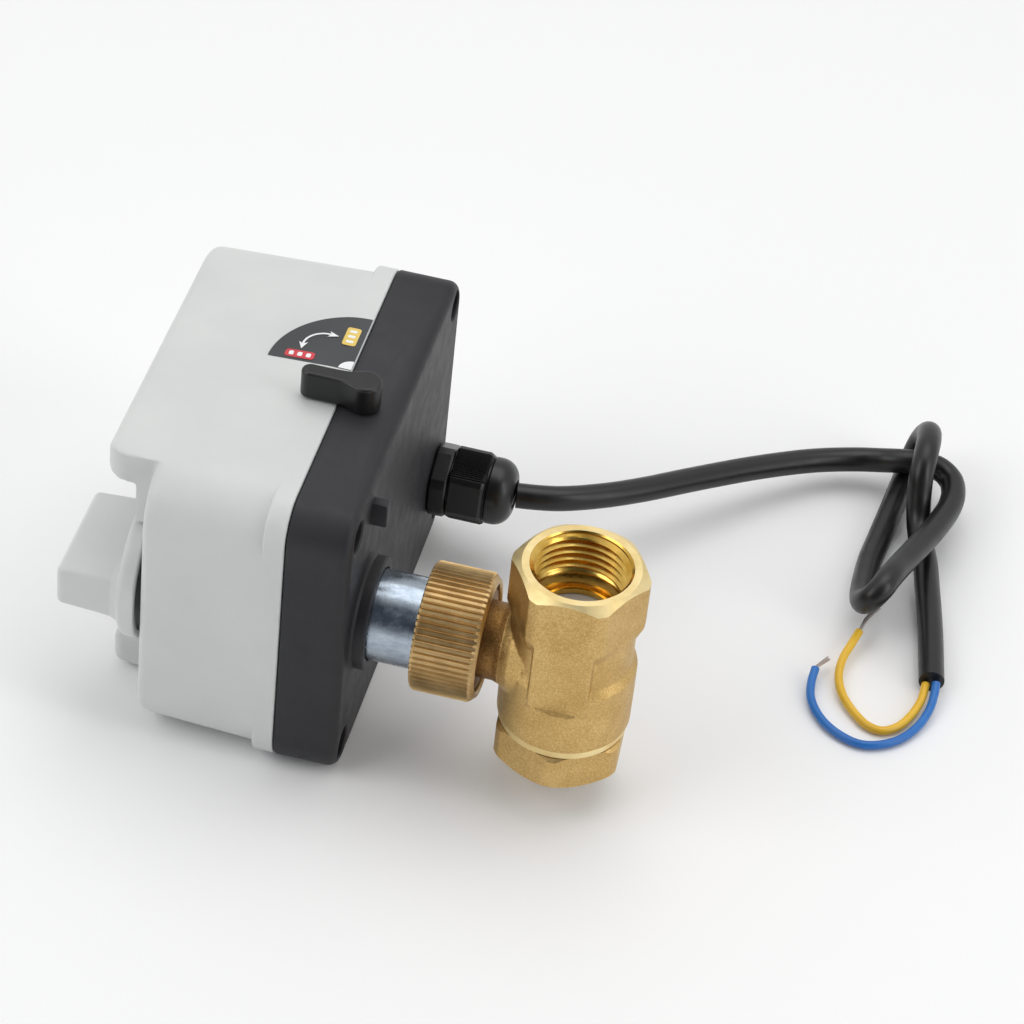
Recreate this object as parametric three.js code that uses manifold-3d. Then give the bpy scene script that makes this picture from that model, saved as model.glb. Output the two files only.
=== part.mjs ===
// Motorized ball valve: a plastic actuator box on a two-way G1/2 brass ball valve.
// Millimetres, +Z up. The pieces are drawn in the stem's frame: X runs along the stem from the
// base's outer face toward the valve, Y runs back across the box, Z is up along the pipe. The last
// lines move the whole assembly so that its origin is under the middle of the box and valve.

import * as THREE from 'three';
import { mergeVertices } from 'three/addons/utils/BufferGeometryUtils.js';
import Module from 'manifold-3d';

const wasm = await Module();
wasm.setup();

// ---------- driving dimensions ----------

const GAP = 0.3;                       // clearance between touching pieces
const EXTRA = 5;                       // how far a cutter runs past what it cuts

// actuator box
const BOX_NEAR = -16.65;               // near and far sides, Y
const BOX_FAR = 76.15;
const BOX_HALF = 34.6;                 // half height, Z
const BOX_CORNER = 8;
const RIM = 3.4;                       // wall thickness of the base and the cover's rim
const WALL = 2.6;                      // wall thickness of the cover
const FLOOR = 2.5;                     // thickness of the base's outer wall
const SEAM = -13.55;                   // parting plane between base and cover, X
const COVER_RIM = -18.3;               // end of the rim whose outline is the base's
const COVER_CORNER = 12;
const COVER_ROUND = 4;                 // rounding of the cover's end faces
const LOW_FACE = -43.8;                // end face of the low block
const HIGH_FACE = -55;                 // end face of the raised block
const HIGH_NEAR = -6;                  // near wall of the raised block, Y
const HIGH_ROUND = 6.5;                // rounding of the raised block's near edge
const LOWER_NEAR = 3.2;                // the same wall in the lower half
const LOWER_ROUND = 2;
const POCKET_RADIUS = 26.5;            // round pocket that clears the knob
const POCKET_FLOOR = -48;
const WELL_RADIUS = 17;                // deeper well that clears the knob's skirt
const WELL_FLOOR = -44;
const DRAFT_Z = 0.00125;               // draft of the cover, per millimetre of depth
const DRAFT_Y = 0.0005;

// cover screws: [Y, Z]
const SCREW_NEAR = -10.3;
const SCREW_FAR = 70.3;
const SCREW_Z = 28.6;
const RECESS_RADIUS = 3.5;
const SCREW_BORE = 1.8;

// gear train, all axes parallel to X on the line Z = 0
const OUTPUT_TEETH = 28;
const SMALL_TEETH = 14;
const MIDDLE_TEETH = 25;
const LARGE_TEETH = 42;
const COARSE = 0.8;                    // gear modules
const FINE = 0.6;
const GEAR_B_Y = COARSE * (OUTPUT_TEETH + SMALL_TEETH) / 2;
const GEAR_A_Y = GEAR_B_Y + COARSE * (MIDDLE_TEETH + SMALL_TEETH) / 2;
const MOTOR_Y = GEAR_A_Y + FINE * (LARGE_TEETH + SMALL_TEETH) / 2;
const GEAR_WIDTH = 3;
const LEVEL_1 = -14.2;                 // low X face of each layer of gears
const LEVEL_2 = -10.4;
const LEVEL_3 = -6.6;
const AXLE_RADIUS = 1.5;
const PLATE_BACK = -17.5;              // gearbox plate
const PLATE_FRONT = -16;
const PLATE_HALF = 23.5;
const PILLARS = [[2, 20], [2, -20], [50, 20], [50, -20]];
const MOTOR_RADIUS = 23;
const MOTOR_BACK = -36;
const STANDOFFS = [[27, 21], [27, -21], [64.3, 21.3], [64.3, -21.3]];
const BOARD_BACK = -40.8;
const BOARD_FRONT = -39.2;

// output shaft, knob, cams and switches
const SHAFT_RADIUS = 4.5;
const SPINDLE_RADIUS = 3;
const KNOB_END = -62.5;
const KNOB_HALF_LENGTH = 13.5;
const KNOB_HALF_WIDTH = 5.2;
const SKIRT_RADIUS = 16;
const CAM_RADIUS = 8;
const CAM_LOBE = 9.2;
const SWITCH_BACKS = [-24.2, -30.9];
const SWITCH_WIDTH = 6.3;
const SWITCH_NEAR = 12;
const SWITCH_FAR = 22;

// manual selector
const SELECTOR_X = -8.3;
const SELECTOR_Y = 23.1;
const SELECTOR_BOTTOM = 34.9;
const SELECTOR_TOP = 41.6;
const LEVER_HUB = 3.6;
const LEVER_TIP = 1.9;
const LEVER_REACH = 11.7;
const CRANK_TEETH = 10;
const CRANK_BOTTOM = 17;

// label on the cover's top face: the corner of a quarter disc
const LABEL_X = SEAM - 0.4;
const LABEL_Y = 33.6;
const LABEL_RADIUS = 18;

// cable gland and cable
const GLAND_Y = 64.4;
const GLAND_Z = -15.5;
const GLAND_BORE = 3.3;
const GLAND_END = 18.7;
const CABLE_RADIUS = 2.85;
const WIRE_RADIUS = 0.95;
const STRAND_RADIUS = 0.45;

// stem, union nut and valve
const COLLAR_RADIUS = 12.1;
const COLLAR_LENGTH = 3.1;
const SLEEVE_RADIUS = 9.76;
const SLEEVE_BORE = 7.6;
const SLEEVE_END = 21.5;
const NUT_START = 13.1;
const NUT_END = 26.8;
const NUT_RADIUS = 13.77;
const KNURLS = 36;
const NECK_RADIUS = 8.2;
const PORT_AXIS = 44.2;                // X of the pipe axis
const PORT_FACE = 25.4;                // half distance between the port faces
const HEX_FLATS = 26;
const HEX_CORNER = 14.4;               // radius that the hexagon's corners are turned to
const BODY_RADIUS = 14;
const RIM_RADIUS = 10.75;
const THREAD_RADIUS = 9.9;
const THREAD_DEPTH = 13;
const THROAT_RADIUS = 8.2;             // shoulder between the port and the seat
const BALL_RADIUS = 9.5;
const BALL_BORE = 5;
const ADAPTOR_TOP = -16.3;             // shoulder of the screwed-in end adaptor
const ADAPTOR_TURN = 33;               // angle of its hexagon against the body's, degrees

// ---------- solids ----------

function closed(geometry) {
  // A closed solid from any three.js geometry: shared vertices merged, slivers dropped, faces out.
  const bare = geometry.index ? geometry.toNonIndexed() : geometry.clone();
  for (const name of ['normal', 'uv']) bare.deleteAttribute(name);
  const merged = mergeVertices(bare, 1e-4);
  const places = merged.attributes.position.array;
  const corners = merged.index.array;
  const kept = [];
  let volume = 0;
  const [a, b, c] = [0, 1, 2].map(() => new THREE.Vector3());
  for (let i = 0; i < corners.length; i += 3) {
    const [p, q, r] = [corners[i], corners[i + 1], corners[i + 2]];
    if (p === q || q === r || r === p) continue;
    kept.push(p, q, r);
    a.fromArray(places, 3 * p);
    b.fromArray(places, 3 * q);
    c.fromArray(places, 3 * r);
    volume += a.dot(b.cross(c));
  }
  if (volume < 0) kept.reverse();
  const mesh = new wasm.Mesh({
    numProp: 3, vertProperties: Float32Array.from(places), triVerts: Uint32Array.from(kept),
  });
  return new wasm.Manifold(mesh);
}

function joined(first, ...others) {
  return others.reduce((whole, piece) => whole.add(piece), first);
}

function cut(whole, ...cutters) {
  return cutters.reduce((left, cutter) => left.subtract(cutter), whole);
}

function moved(piece, x, y, z) {
  return piece.translate([x, y, z]);
}

// A shape drawn in Y and Z becomes a solid along X, and one drawn in X and Y a solid along Z.
const ALONG_X = new THREE.Matrix4().makeBasis(
  new THREE.Vector3(0, 1, 0), new THREE.Vector3(0, 0, 1), new THREE.Vector3(1, 0, 0));

function extruded(shape, low, high, round = 0, segments = 2) {
  return new THREE.ExtrudeGeometry(shape, {
    depth: high - low - 2 * round, curveSegments: segments, bevelEnabled: round > 0,
    bevelSize: round, bevelThickness: round, bevelOffset: -round, bevelSegments: 2,
  }).translate(0, 0, low + round);
}

function alongX(shape, low, high, round = 0, segments = 2) {
  return closed(extruded(shape, low, high, round, segments).applyMatrix4(ALONG_X));
}

function alongZ(shape, low, high, round = 0, segments = 2) {
  return closed(extruded(shape, low, high, round, segments));
}

function rectangle(x0, x1, y0, y1, radius = 0) {
  const shape = new THREE.Shape();
  if (radius === 0) {
    return shape.moveTo(x0, y0).lineTo(x1, y0).lineTo(x1, y1).lineTo(x0, y1);
  }
  const corners = [[x1, y0, -90], [x1, y1, 0], [x0, y1, 90], [x0, y0, 180]];
  for (const [x, y, start] of corners) {
    const angle = THREE.MathUtils.degToRad(start);
    const side = x === x1 ? -radius : radius;
    const rise = y === y1 ? -radius : radius;
    shape.absarc(x + side, y + rise, radius, angle, angle + Math.PI / 2, false);
  }
  return shape;
}

function box(x0, x1, y0, y1, z0, z1) {
  const block = new THREE.BoxGeometry(x1 - x0, y1 - y0, z1 - z0);
  return closed(block.translate((x0 + x1) / 2, (y0 + y1) / 2, (z0 + z1) / 2));
}

function rodX(radius, x0, x1, y = 0, z = 0, sides = 16) {
  const rod = new THREE.CylinderGeometry(radius, radius, x1 - x0, sides).rotateZ(-Math.PI / 2);
  return closed(rod.translate((x0 + x1) / 2, y, z));
}

function rodZ(radius, z0, z1, x = 0, y = 0, sides = 16) {
  const rod = new THREE.CylinderGeometry(radius, radius, z1 - z0, sides).rotateX(Math.PI / 2);
  return closed(rod.translate(x, y, (z0 + z1) / 2));
}

function lathe(profile, sides) {
  const points = [...profile, profile[0]].map(([radius, height]) => new THREE.Vector2(radius, height));
  return new THREE.LatheGeometry(points, sides);
}

function turnedX(profile, sides = 24) {
  // profile: [radius, x] corners of a closed section
  return closed(lathe(profile, sides).rotateZ(-Math.PI / 2));
}

function turnedZ(profile, sides = 24) {
  return closed(lathe(profile, sides).rotateX(Math.PI / 2));
}

function ringX(inner, outer, x0, x1, sides = 16) {
  return turnedX([[inner, x0], [outer, x0], [outer, x1], [inner, x1]], sides);
}

function polygon(sides, flats, turn = 0) {
  const radius = flats / 2 / Math.cos(Math.PI / sides);
  const corners = Array.from({ length: sides }, (_, i) => {
    const angle = THREE.MathUtils.degToRad(turn) + i * 2 * Math.PI / sides;
    return new THREE.Vector2(radius * Math.cos(angle), radius * Math.sin(angle));
  });
  return new THREE.Shape(corners);
}

function toothed(teeth, inner, outer, rootShare, tipShare, phase = 0) {
  // Outline with straight-flanked ridges; the first ridge is centred at the phase, in pitches.
  const pitch = 2 * Math.PI / teeth;
  const corners = [];
  for (let i = 0; i < teeth; i += 1) {
    for (const [radius, share] of [
      [inner, -rootShare], [outer, -tipShare], [outer, tipShare], [inner, rootShare],
    ]) {
      const angle = (i + phase + share / 2) * pitch;
      corners.push(new THREE.Vector2(radius * Math.cos(angle), radius * Math.sin(angle)));
    }
  }
  return new THREE.Shape(corners);
}

function gear(teeth, module, phase) {
  const pitchRadius = teeth * module / 2;
  return toothed(teeth, pitchRadius - 1.1 * module, pitchRadius + 0.8 * module, 0.52, 0.22, phase);
}

function tube(points, radius, sides, steps) {
  const route = new THREE.CatmullRomCurve3(
    points.map((point) => new THREE.Vector3(...point)), false, 'centripetal');
  const section = polygon(sides, 2 * radius * Math.cos(Math.PI / sides));
  return closed(new THREE.ExtrudeGeometry(section, { steps, extrudePath: route, bevelEnabled: false }));
}

// ---------- materials and assembly ----------

const FINISHES = {
  cover: [0xd0d1d0, 0.5, 0], base: [0x3a3a3d, 0.6, 0], lever: [0x1c1c1c, 0.35, 0],
  gland: [0x141415, 0.25, 0], cable: [0x111112, 0.4, 0], yellow: [0xebbe3c, 0.4, 0],
  blue: [0x327dc8, 0.4, 0], copper: [0xb8a898, 0.4, 1], label: [0x3c3e40, 0.5, 0],
  steel: [0xb6bdc4, 0.3, 1], brass: [0xb9965a, 0.45, 1], nut: [0x966e3c, 0.4, 1],
  chrome: [0xd8dadd, 0.1, 1], ptfe: [0xf2f2ee, 0.5, 0], rubber: [0x202022, 0.8, 0],
  gear: [0xe8e4d8, 0.5, 0], motor: [0xaab0b5, 0.35, 1], board: [0x2f6b42, 0.5, 0],
  terminal: [0x3f8f5a, 0.5, 0], capacitor: [0xd9b23a, 0.4, 0], switch: [0x26272a, 0.5, 0],
  plunger: [0xb03030, 0.4, 0],
};

const drawn = new THREE.Group();

function add(name, finish, piece) {
  const { vertProperties, triVerts } = piece.getMesh();
  const geometry = new THREE.BufferGeometry();
  geometry.setAttribute('position', new THREE.BufferAttribute(Float32Array.from(vertProperties), 3));
  geometry.setIndex(new THREE.BufferAttribute(Uint32Array.from(triVerts), 1));
  geometry.computeVertexNormals();
  const [color, roughness, metalness] = FINISHES[finish];
  const material = new THREE.MeshStandardMaterial({ color, roughness, metalness });
  const mesh = new THREE.Mesh(geometry, material);
  mesh.name = name;
  drawn.add(mesh);
}

// ---------- box ----------

const SCREWS = [[SCREW_NEAR, SCREW_Z], [SCREW_NEAR, -SCREW_Z], [SCREW_FAR, SCREW_Z], [SCREW_FAR, -SCREW_Z]];

function boxOutline(inset, corner = BOX_CORNER) {
  return rectangle(BOX_NEAR + inset, BOX_FAR - inset, -BOX_HALF + inset, BOX_HALF - inset, corner - inset);
}

function gasketLoop(x0, x1, inset, width) {
  const outer = alongX(boxOutline(inset), x0, x1);
  const inner = alongX(boxOutline(inset + width), x0 - EXTRA, x1 + EXTRA);
  return cut(outer, inner);
}

function base() {
  const rim = SEAM + GAP / 2;
  const outer = cut(alongX(boxOutline(0), rim - EXTRA, 0, 2.2),
    box(rim - 2 * EXTRA, rim, BOX_NEAR - 1, BOX_FAR + 1, -BOX_HALF - 1, BOX_HALF + 1));
  const tray = cut(outer, alongX(boxOutline(RIM), rim - EXTRA, -FLOOR));
  const posts = SCREWS.map(([y, z]) => rodX(5, rim, -FLOOR + 0.5, y, z));
  const pillars = PILLARS.map(([y, z]) => rodX(3, PLATE_FRONT + GAP, -FLOOR + 0.5, y, z, 12));
  const collar = turnedX([[0, -1], [COLLAR_RADIUS, -1], [COLLAR_RADIUS, COLLAR_LENGTH - 0.6],
    [COLLAR_RADIUS - 0.6, COLLAR_LENGTH], [0, COLLAR_LENGTH]]);
  const lug = box(-1, 3.2, 0.5, 3.1, 23, 28.8);
  const selectorBoss = rodZ(4.4, 29.5, BOX_HALF - 1, SELECTOR_X, SELECTOR_Y);
  const whole = joined(tray, ...posts.map((post) => post.intersect(outer)), ...pillars, collar, lug,
    selectorBoss);
  return cut(whole,
    ...SCREWS.map(([y, z]) => rodX(RECESS_RADIUS, -6, EXTRA, y, z)),
    ...SCREWS.map(([y, z]) => rodX(SCREW_BORE, rim - EXTRA, EXTRA, y, z, 12)),
    rodX(SLEEVE_RADIUS + GAP, rim, COLLAR_LENGTH + EXTRA, 0, 0, 24),
    rodX(6.3, rim, EXTRA, GLAND_Y, GLAND_Z),
    ...[GEAR_A_Y, GEAR_B_Y].map((y) => rodX(AXLE_RADIUS + GAP, rim, -1.2, y, 0, 14)),
    rodZ(2.6, 20, BOX_HALF + EXTRA, SELECTOR_X, SELECTOR_Y),
    rodZ(3.6, 31.6, 33.2, SELECTOR_X, SELECTOR_Y),
    gasketLoop(rim - EXTRA, rim + 1.3, 0.9, 1.6));
}

function drafted(geometry) {
  // Leans the cover's walls inward with depth, as the mould needs.
  const places = geometry.attributes.position;
  const middle = (BOX_NEAR + BOX_FAR) / 2;
  for (let i = 0; i < places.count; i += 1) {
    const depth = Math.max(0, COVER_RIM - places.getX(i));
    places.setY(i, middle + (places.getY(i) - middle) * (1 - DRAFT_Y * depth));
    places.setZ(i, places.getZ(i) * (1 - DRAFT_Z * depth));
  }
  return geometry;
}

function coverBlock(near, face, inset, round) {
  const outline = rectangle(near + inset, BOX_FAR - inset, -BOX_HALF + inset, BOX_HALF - inset,
    COVER_CORNER - inset);
  const block = extruded(outline, face + inset, COVER_RIM + EXTRA, round).applyMatrix4(ALONG_X);
  return closed(drafted(block));
}

function besideRaised(near, round) {
  // Everything on the near side of the raised block's near wall, with that wall's rounded corner.
  const shape = new THREE.Shape();
  shape.moveTo(HIGH_FACE - 1, near + round);
  shape.lineTo(HIGH_FACE, near + round);
  shape.absarc(HIGH_FACE + round, near + round, round, Math.PI, 1.5 * Math.PI, false);
  shape.lineTo(COVER_RIM + 1, near);
  shape.lineTo(COVER_RIM + 1, BOX_NEAR - 1);
  shape.lineTo(HIGH_FACE - 1, BOX_NEAR - 1);
  return shape;
}

function coverOuter() {
  const raised = cut(coverBlock(BOX_NEAR, HIGH_FACE, 0, COVER_ROUND),
    alongZ(besideRaised(HIGH_NEAR, HIGH_ROUND), -BOX_HALF - 1, BOX_HALF + 1),
    alongZ(besideRaised(LOWER_NEAR, LOWER_ROUND), -BOX_HALF - 1, 0));
  const low = coverBlock(BOX_NEAR, LOW_FACE, 0, COVER_ROUND);
  const rim = alongX(boxOutline(0), COVER_RIM, COVER_RIM + 2 * EXTRA);
  const trim = box(SEAM - GAP / 2, EXTRA, BOX_NEAR - 1, BOX_FAR + 1, -BOX_HALF - 1, BOX_HALF + 1);
  const trimmed = joined(low, raised, rim);
  return { outer: cut(trimmed, trim), open: trimmed };
}

function coverCavity() {
  const mouth = alongX(boxOutline(RIM), COVER_RIM - 1, EXTRA);
  const low = coverBlock(BOX_NEAR, LOW_FACE, WALL, 2);
  const raised = cut(coverBlock(BOX_NEAR, HIGH_FACE, WALL, 2).intersect(
    box(HIGH_FACE, COVER_RIM, HIGH_NEAR + WALL, BOX_FAR, -BOX_HALF, BOX_HALF)),
    box(HIGH_FACE, COVER_RIM, HIGH_NEAR, LOWER_NEAR + WALL, -BOX_HALF, 0));
  return cut(joined(mouth, low, raised),
    rodX(POCKET_RADIUS + WALL, HIGH_FACE, POCKET_FLOOR + WALL, 0, 0, 32),
    rodX(WELL_RADIUS + WALL, HIGH_FACE, WELL_FLOOR + WALL, 0, 0, 24));
}

function cover() {
  const { outer, open } = coverOuter();
  const posts = SCREWS.map(([y, z]) => rodX(4.2, -40, SEAM - GAP / 2, y, z, 14).intersect(open));
  const sealBoss = rodX(8, WELL_FLOOR, -38, 0, 0);
  return cut(joined(cut(outer, coverCavity()), ...posts, sealBoss),
    rodX(POCKET_RADIUS, HIGH_FACE - EXTRA, POCKET_FLOOR, 0, 0, 32),
    rodX(WELL_RADIUS, HIGH_FACE - EXTRA, WELL_FLOOR, 0, 0, 24),
    rodX(SHAFT_RADIUS + 0.4, HIGH_FACE, SEAM, 0, 0),
    rodX(6.6, -41.2, SEAM, 0, 0),
    ...SCREWS.map(([y, z]) => rodX(SCREW_BORE, -31, EXTRA, y, z, 12)),
    gasketLoop(SEAM - GAP / 2 - 1.2, SEAM + EXTRA, 0.9, 1.6));
}

function coverScrew(y, z) {
  const head = turnedX([[0, -5.7], [2.8, -5.7], [2.8, -4.3], [2.1, -3.4], [0, -3.4]], 12);
  return moved(joined(head, rodX(1.5, -29, -5.5, 0, 0, 8)), 0, y, z);
}

function labelPlate() {
  // A quarter disc that follows the cover's leaning top face.
  const shape = new THREE.Shape();
  shape.moveTo(LABEL_X, LABEL_Y);
  shape.absarc(LABEL_X, LABEL_Y, LABEL_RADIUS, Math.PI / 2, Math.PI, false);
  const { outer } = coverOuter();
  const slab = cut(moved(outer, 0, 0, 0.7), moved(outer, 0, 0, GAP));
  return slab.intersect(alongZ(shape, 20, BOX_HALF + EXTRA, 0, 6));
}

// ---------- gear box ----------

function gearboxPlate() {
  const plate = alongX(rectangle(-12, 71, -PLATE_HALF, PLATE_HALF, 3), PLATE_BACK, PLATE_FRONT, 0, 2);
  return cut(plate,
    rodX(SHAFT_RADIUS + 0.7, PLATE_BACK - 1, PLATE_FRONT + 1),
    rodX(3, PLATE_BACK - 1, PLATE_FRONT + 1, MOTOR_Y, 0, 24),
    ...[GEAR_A_Y, GEAR_B_Y].map((y) => rodX(AXLE_RADIUS + GAP, PLATE_BACK - 1, PLATE_FRONT + 1, y, 0, 14)));
}

function axle(y) {
  return rodX(AXLE_RADIUS, PLATE_BACK + GAP, -1.5, y, 0, 14);
}

function gearLayer(teeth, module, level, phase) {
  return alongX(gear(teeth, module, phase), level, level + GEAR_WIDTH);
}

function outputGear() {
  return cut(joined(gearLayer(OUTPUT_TEETH, COARSE, LEVEL_1, 0), rodX(7, LEVEL_1 - 1.4, LEVEL_1 + 1)),
    rodX(SHAFT_RADIUS + GAP, LEVEL_1 - EXTRA, LEVEL_1 + EXTRA));
}

function compoundGear(y, wide, narrow) {
  // Two gears of one moulding; the hub runs between their layers.
  const [low, high] = [Math.min(wide.level, narrow.level), Math.max(wide.level, narrow.level)];
  const hub = rodX(3.2, low, high + GEAR_WIDTH, 0, 0, 16);
  const whole = joined(hub, gearLayer(wide.teeth, wide.module, wide.level, 0),
    gearLayer(narrow.teeth, narrow.module, narrow.level, 0.5));
  return moved(cut(whole, rodX(AXLE_RADIUS + GAP, low - 1, high + EXTRA, 0, 0, 14)), 0, y, 0);
}

function gearB() {
  return compoundGear(GEAR_B_Y, { teeth: MIDDLE_TEETH, module: COARSE, level: LEVEL_2 },
    { teeth: SMALL_TEETH, module: COARSE, level: LEVEL_1 });
}

function gearA() {
  return compoundGear(GEAR_A_Y, { teeth: LARGE_TEETH, module: FINE, level: LEVEL_3 },
    { teeth: SMALL_TEETH, module: COARSE, level: LEVEL_2 });
}

function motorPinion() {
  const shaft = rodX(AXLE_RADIUS, -21.6, -3.4, 0, 0, 14);
  return moved(joined(shaft, gearLayer(SMALL_TEETH, FINE, LEVEL_3, 0.5)), 0, MOTOR_Y, 0);
}

function motor() {
  const can = turnedX([[0, MOTOR_BACK], [MOTOR_RADIUS - 1, MOTOR_BACK], [MOTOR_RADIUS, MOTOR_BACK + 1],
    [MOTOR_RADIUS, PLATE_BACK - 1.3], [MOTOR_RADIUS - 1, PLATE_BACK - GAP], [0, PLATE_BACK - GAP]]);
  const endBoss = rodX(6, MOTOR_BACK - 1.4, MOTOR_BACK + 1, 0, 0, 16);
  return moved(cut(joined(can, endBoss), rodX(AXLE_RADIUS + GAP, -22, 0, 0, 0, 14)), 0, MOTOR_Y, 0);
}

function standoff(y, z) {
  return rodX(2, BOARD_FRONT + GAP, PLATE_BACK - GAP, y, z, 12);
}

// ---------- electrics ----------

function circuitBoard() {
  return box(BOARD_BACK, BOARD_FRONT, 22, 68, -24, 24);
}

function terminalBlock() {
  const back = BOARD_BACK - GAP;
  const body = box(back - 8, back, 44, 62, -20, -8);
  const wells = [0, 1, 2].map((i) => rodX(1.6, back - 9, back - 5, 47 + 6 * i, -14, 16));
  return cut(body, ...wells);
}

function capacitor() {
  const back = BOARD_BACK - GAP;
  return alongX(rectangle(36, 54, 4, 14, 2), back - 9, back, 0.8, 2);
}

function microSwitch(back) {
  const body = box(back, back + SWITCH_WIDTH, SWITCH_NEAR, SWITCH_FAR, -10, 10);
  const middle = back + SWITCH_WIDTH / 2;
  return cut(body, box(middle - 1.5, middle + 1.5, SWITCH_NEAR - 1, SWITCH_NEAR + 4, -1.9, 1.9));
}

function switchPlunger(back) {
  const middle = back + SWITCH_WIDTH / 2;
  const body = box(middle - 1.2, middle + 1.2, CAM_LOBE + 1.1, SWITCH_NEAR + 2.6, -1.6, 1.6);
  const tip = rodX(1.6, middle - 1.2, middle + 1.2, CAM_LOBE + GAP + 1.6, 0, 20);
  return joined(body, tip);
}

function innerLead() {
  const route = [
    [18.4, 64.4, -15.5], [10, 64.4, -15.5], [0, 64.4, -15.5], [-5.8, 64.4, -15.5], [-10, 63.6, -18.8],
    [-12, 62.4, -24.5], [-16, 61, -27.4], [-22, 60, -27.9], [-30, 59, -27.9], [-36, 58, -27.9],
    [-40.5, 57, -27.6],
  ];
  return tube(route, CABLE_RADIUS - 0.15, 8, 22);
}

// ---------- output shaft and knob ----------

function outputShaft() {
  const shaft = joined(rodX(SHAFT_RADIUS, -43, 17.7), rodX(SPINDLE_RADIUS, -57, -42, 0, 0, 16));
  return cut(shaft, box(14.5, 18, -EXTRA, EXTRA, -1.7, 1.7));
}

function knob() {
  const skirt = turnedX([[0, -49.6], [SKIRT_RADIUS - 1.6, -49.6], [SKIRT_RADIUS, -48], [SKIRT_RADIUS, -45],
    [0, -45]]);
  const grip = closed(extruded(rectangle(-KNOB_HALF_LENGTH, KNOB_HALF_LENGTH, -KNOB_HALF_WIDTH,
    KNOB_HALF_WIDTH, 2), KNOB_END, -49, 1.5, 1).applyMatrix4(ALONG_X));
  return cut(joined(skirt, grip), rodX(SPINDLE_RADIUS + GAP, -57.4, -44, 0, 0, 16));
}

function cam(middle, turn) {
  const shape = new THREE.Shape();
  const start = THREE.MathUtils.degToRad(turn - 30);
  const end = THREE.MathUtils.degToRad(turn + 30);
  shape.absarc(0, 0, CAM_LOBE, start, end, false);
  shape.absarc(0, 0, CAM_RADIUS, end, start + 2 * Math.PI, false);
  const disc = alongX(shape, middle - 1.25, middle + 1.25, 0, 8);
  return cut(disc, rodX(SHAFT_RADIUS + GAP, middle - 2, middle + 2));
}

// ---------- manual selector ----------

function lever() {
  const hub = new THREE.Shape();
  const lean = Math.asin((LEVER_HUB - LEVER_TIP) / LEVER_REACH);
  hub.absarc(0, 0, LEVER_HUB, -Math.PI / 2 - lean, Math.PI / 2 + lean, false);
  hub.absarc(-LEVER_REACH, 0, LEVER_TIP, Math.PI / 2 + lean, 1.5 * Math.PI - lean, false);
  const body = moved(alongZ(hub, SELECTOR_BOTTOM, SELECTOR_TOP, 0.8, 4), SELECTOR_X, SELECTOR_Y, 0);
  return cut(body, rodZ(1.9, SELECTOR_BOTTOM - 1, 39, SELECTOR_X, SELECTOR_Y, 16));
}

function selectorShaft() {
  const crank = moved(alongZ(gear(CRANK_TEETH, FINE, 0), CRANK_BOTTOM, CRANK_BOTTOM + 3),
    SELECTOR_X, SELECTOR_Y, 0);
  return joined(rodZ(2.3, CRANK_BOTTOM - 1.5, SELECTOR_BOTTOM - GAP, SELECTOR_X, SELECTOR_Y, 16),
    rodZ(1.6, SELECTOR_BOTTOM - 1, 38.6, SELECTOR_X, SELECTOR_Y, 16), crank);
}

function clutchSlide() {
  // A rack on the crank gear's low X side; a space of the rack faces the gear's tooth at rest.
  const pitch = Math.PI * FINE;
  const line = SELECTOR_X - CRANK_TEETH * FINE / 2;
  const shape = new THREE.Shape();
  shape.moveTo(line - 3.2, SELECTOR_Y - 10);
  shape.lineTo(line - 1.1 * FINE, SELECTOR_Y - 10);
  for (let i = -4; i <= 4; i += 1) {
    const middle = SELECTOR_Y + (i + 0.5) * pitch;
    shape.lineTo(line - 1.1 * FINE, middle - 0.26 * pitch);
    shape.lineTo(line + 0.8 * FINE, middle - 0.11 * pitch);
    shape.lineTo(line + 0.8 * FINE, middle + 0.11 * pitch);
    shape.lineTo(line - 1.1 * FINE, middle + 0.26 * pitch);
  }
  shape.lineTo(line - 1.1 * FINE, SELECTOR_Y + 12);
  shape.lineTo(line - 3.2, SELECTOR_Y + 12);
  return alongZ(shape, CRANK_BOTTOM, CRANK_BOTTOM + 3);
}

function ringZ(inner, outer, z0, z1, x, y) {
  return moved(turnedZ([[inner, z0], [outer, z0], [outer, z1], [inner, z1]], 24), x, y, 0);
}

// ---------- cable gland ----------

function glandBody() {
  const flange = alongX(polygon(6, 15.2, 30), GAP, 4.2).intersect(
    turnedX([[0, GAP], [8, GAP], [8.3, 0.8], [8.3, 3.8], [7.8, 4.2], [0, 4.2]], 24));
  const whole = joined(flange, rodX(6, -5.6, 1), rodX(6.3, 4, 11.4));
  const bored = cut(whole, rodX(GLAND_BORE, -6, 5), rodX(4.9, 4.6, 12));
  return moved(bored, 0, GLAND_Y, GLAND_Z);
}

function glandLocknut() {
  const nut = cut(alongX(polygon(6, 15, 30), -5.4, -FLOOR - GAP), rodX(6.25, -6, 0));
  return moved(nut, 0, GLAND_Y, GLAND_Z);
}

function glandNut() {
  const ribbed = alongX(toothed(12, 7.9, 8.45, 0.7, 0.45), 4.6, 12.6);
  const profile = [[0, 12], [7.8, 12], [7.8, 14]];
  const bend = 3.6;                    // rounding of the dome's shoulder
  for (let i = 0; i <= 3; i += 1) {
    const angle = i * Math.PI / 6;
    profile.push([7.8 - bend + bend * Math.cos(angle), GLAND_END - bend + bend * Math.sin(angle)]);
  }
  profile.push([0, GLAND_END]);
  const whole = joined(ribbed, turnedX(profile, 24));
  return moved(cut(whole, rodX(6.6, 4, 11.8), rodX(GLAND_BORE, 11, 20)), 0, GLAND_Y, GLAND_Z);
}

function glandSeal() {
  return moved(ringX(CABLE_RADIUS + GAP, 4.6, 5, 11.2, 24), 0, GLAND_Y, GLAND_Z);
}

// ---------- cable, laid on the surface that the box stands on ----------

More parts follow.
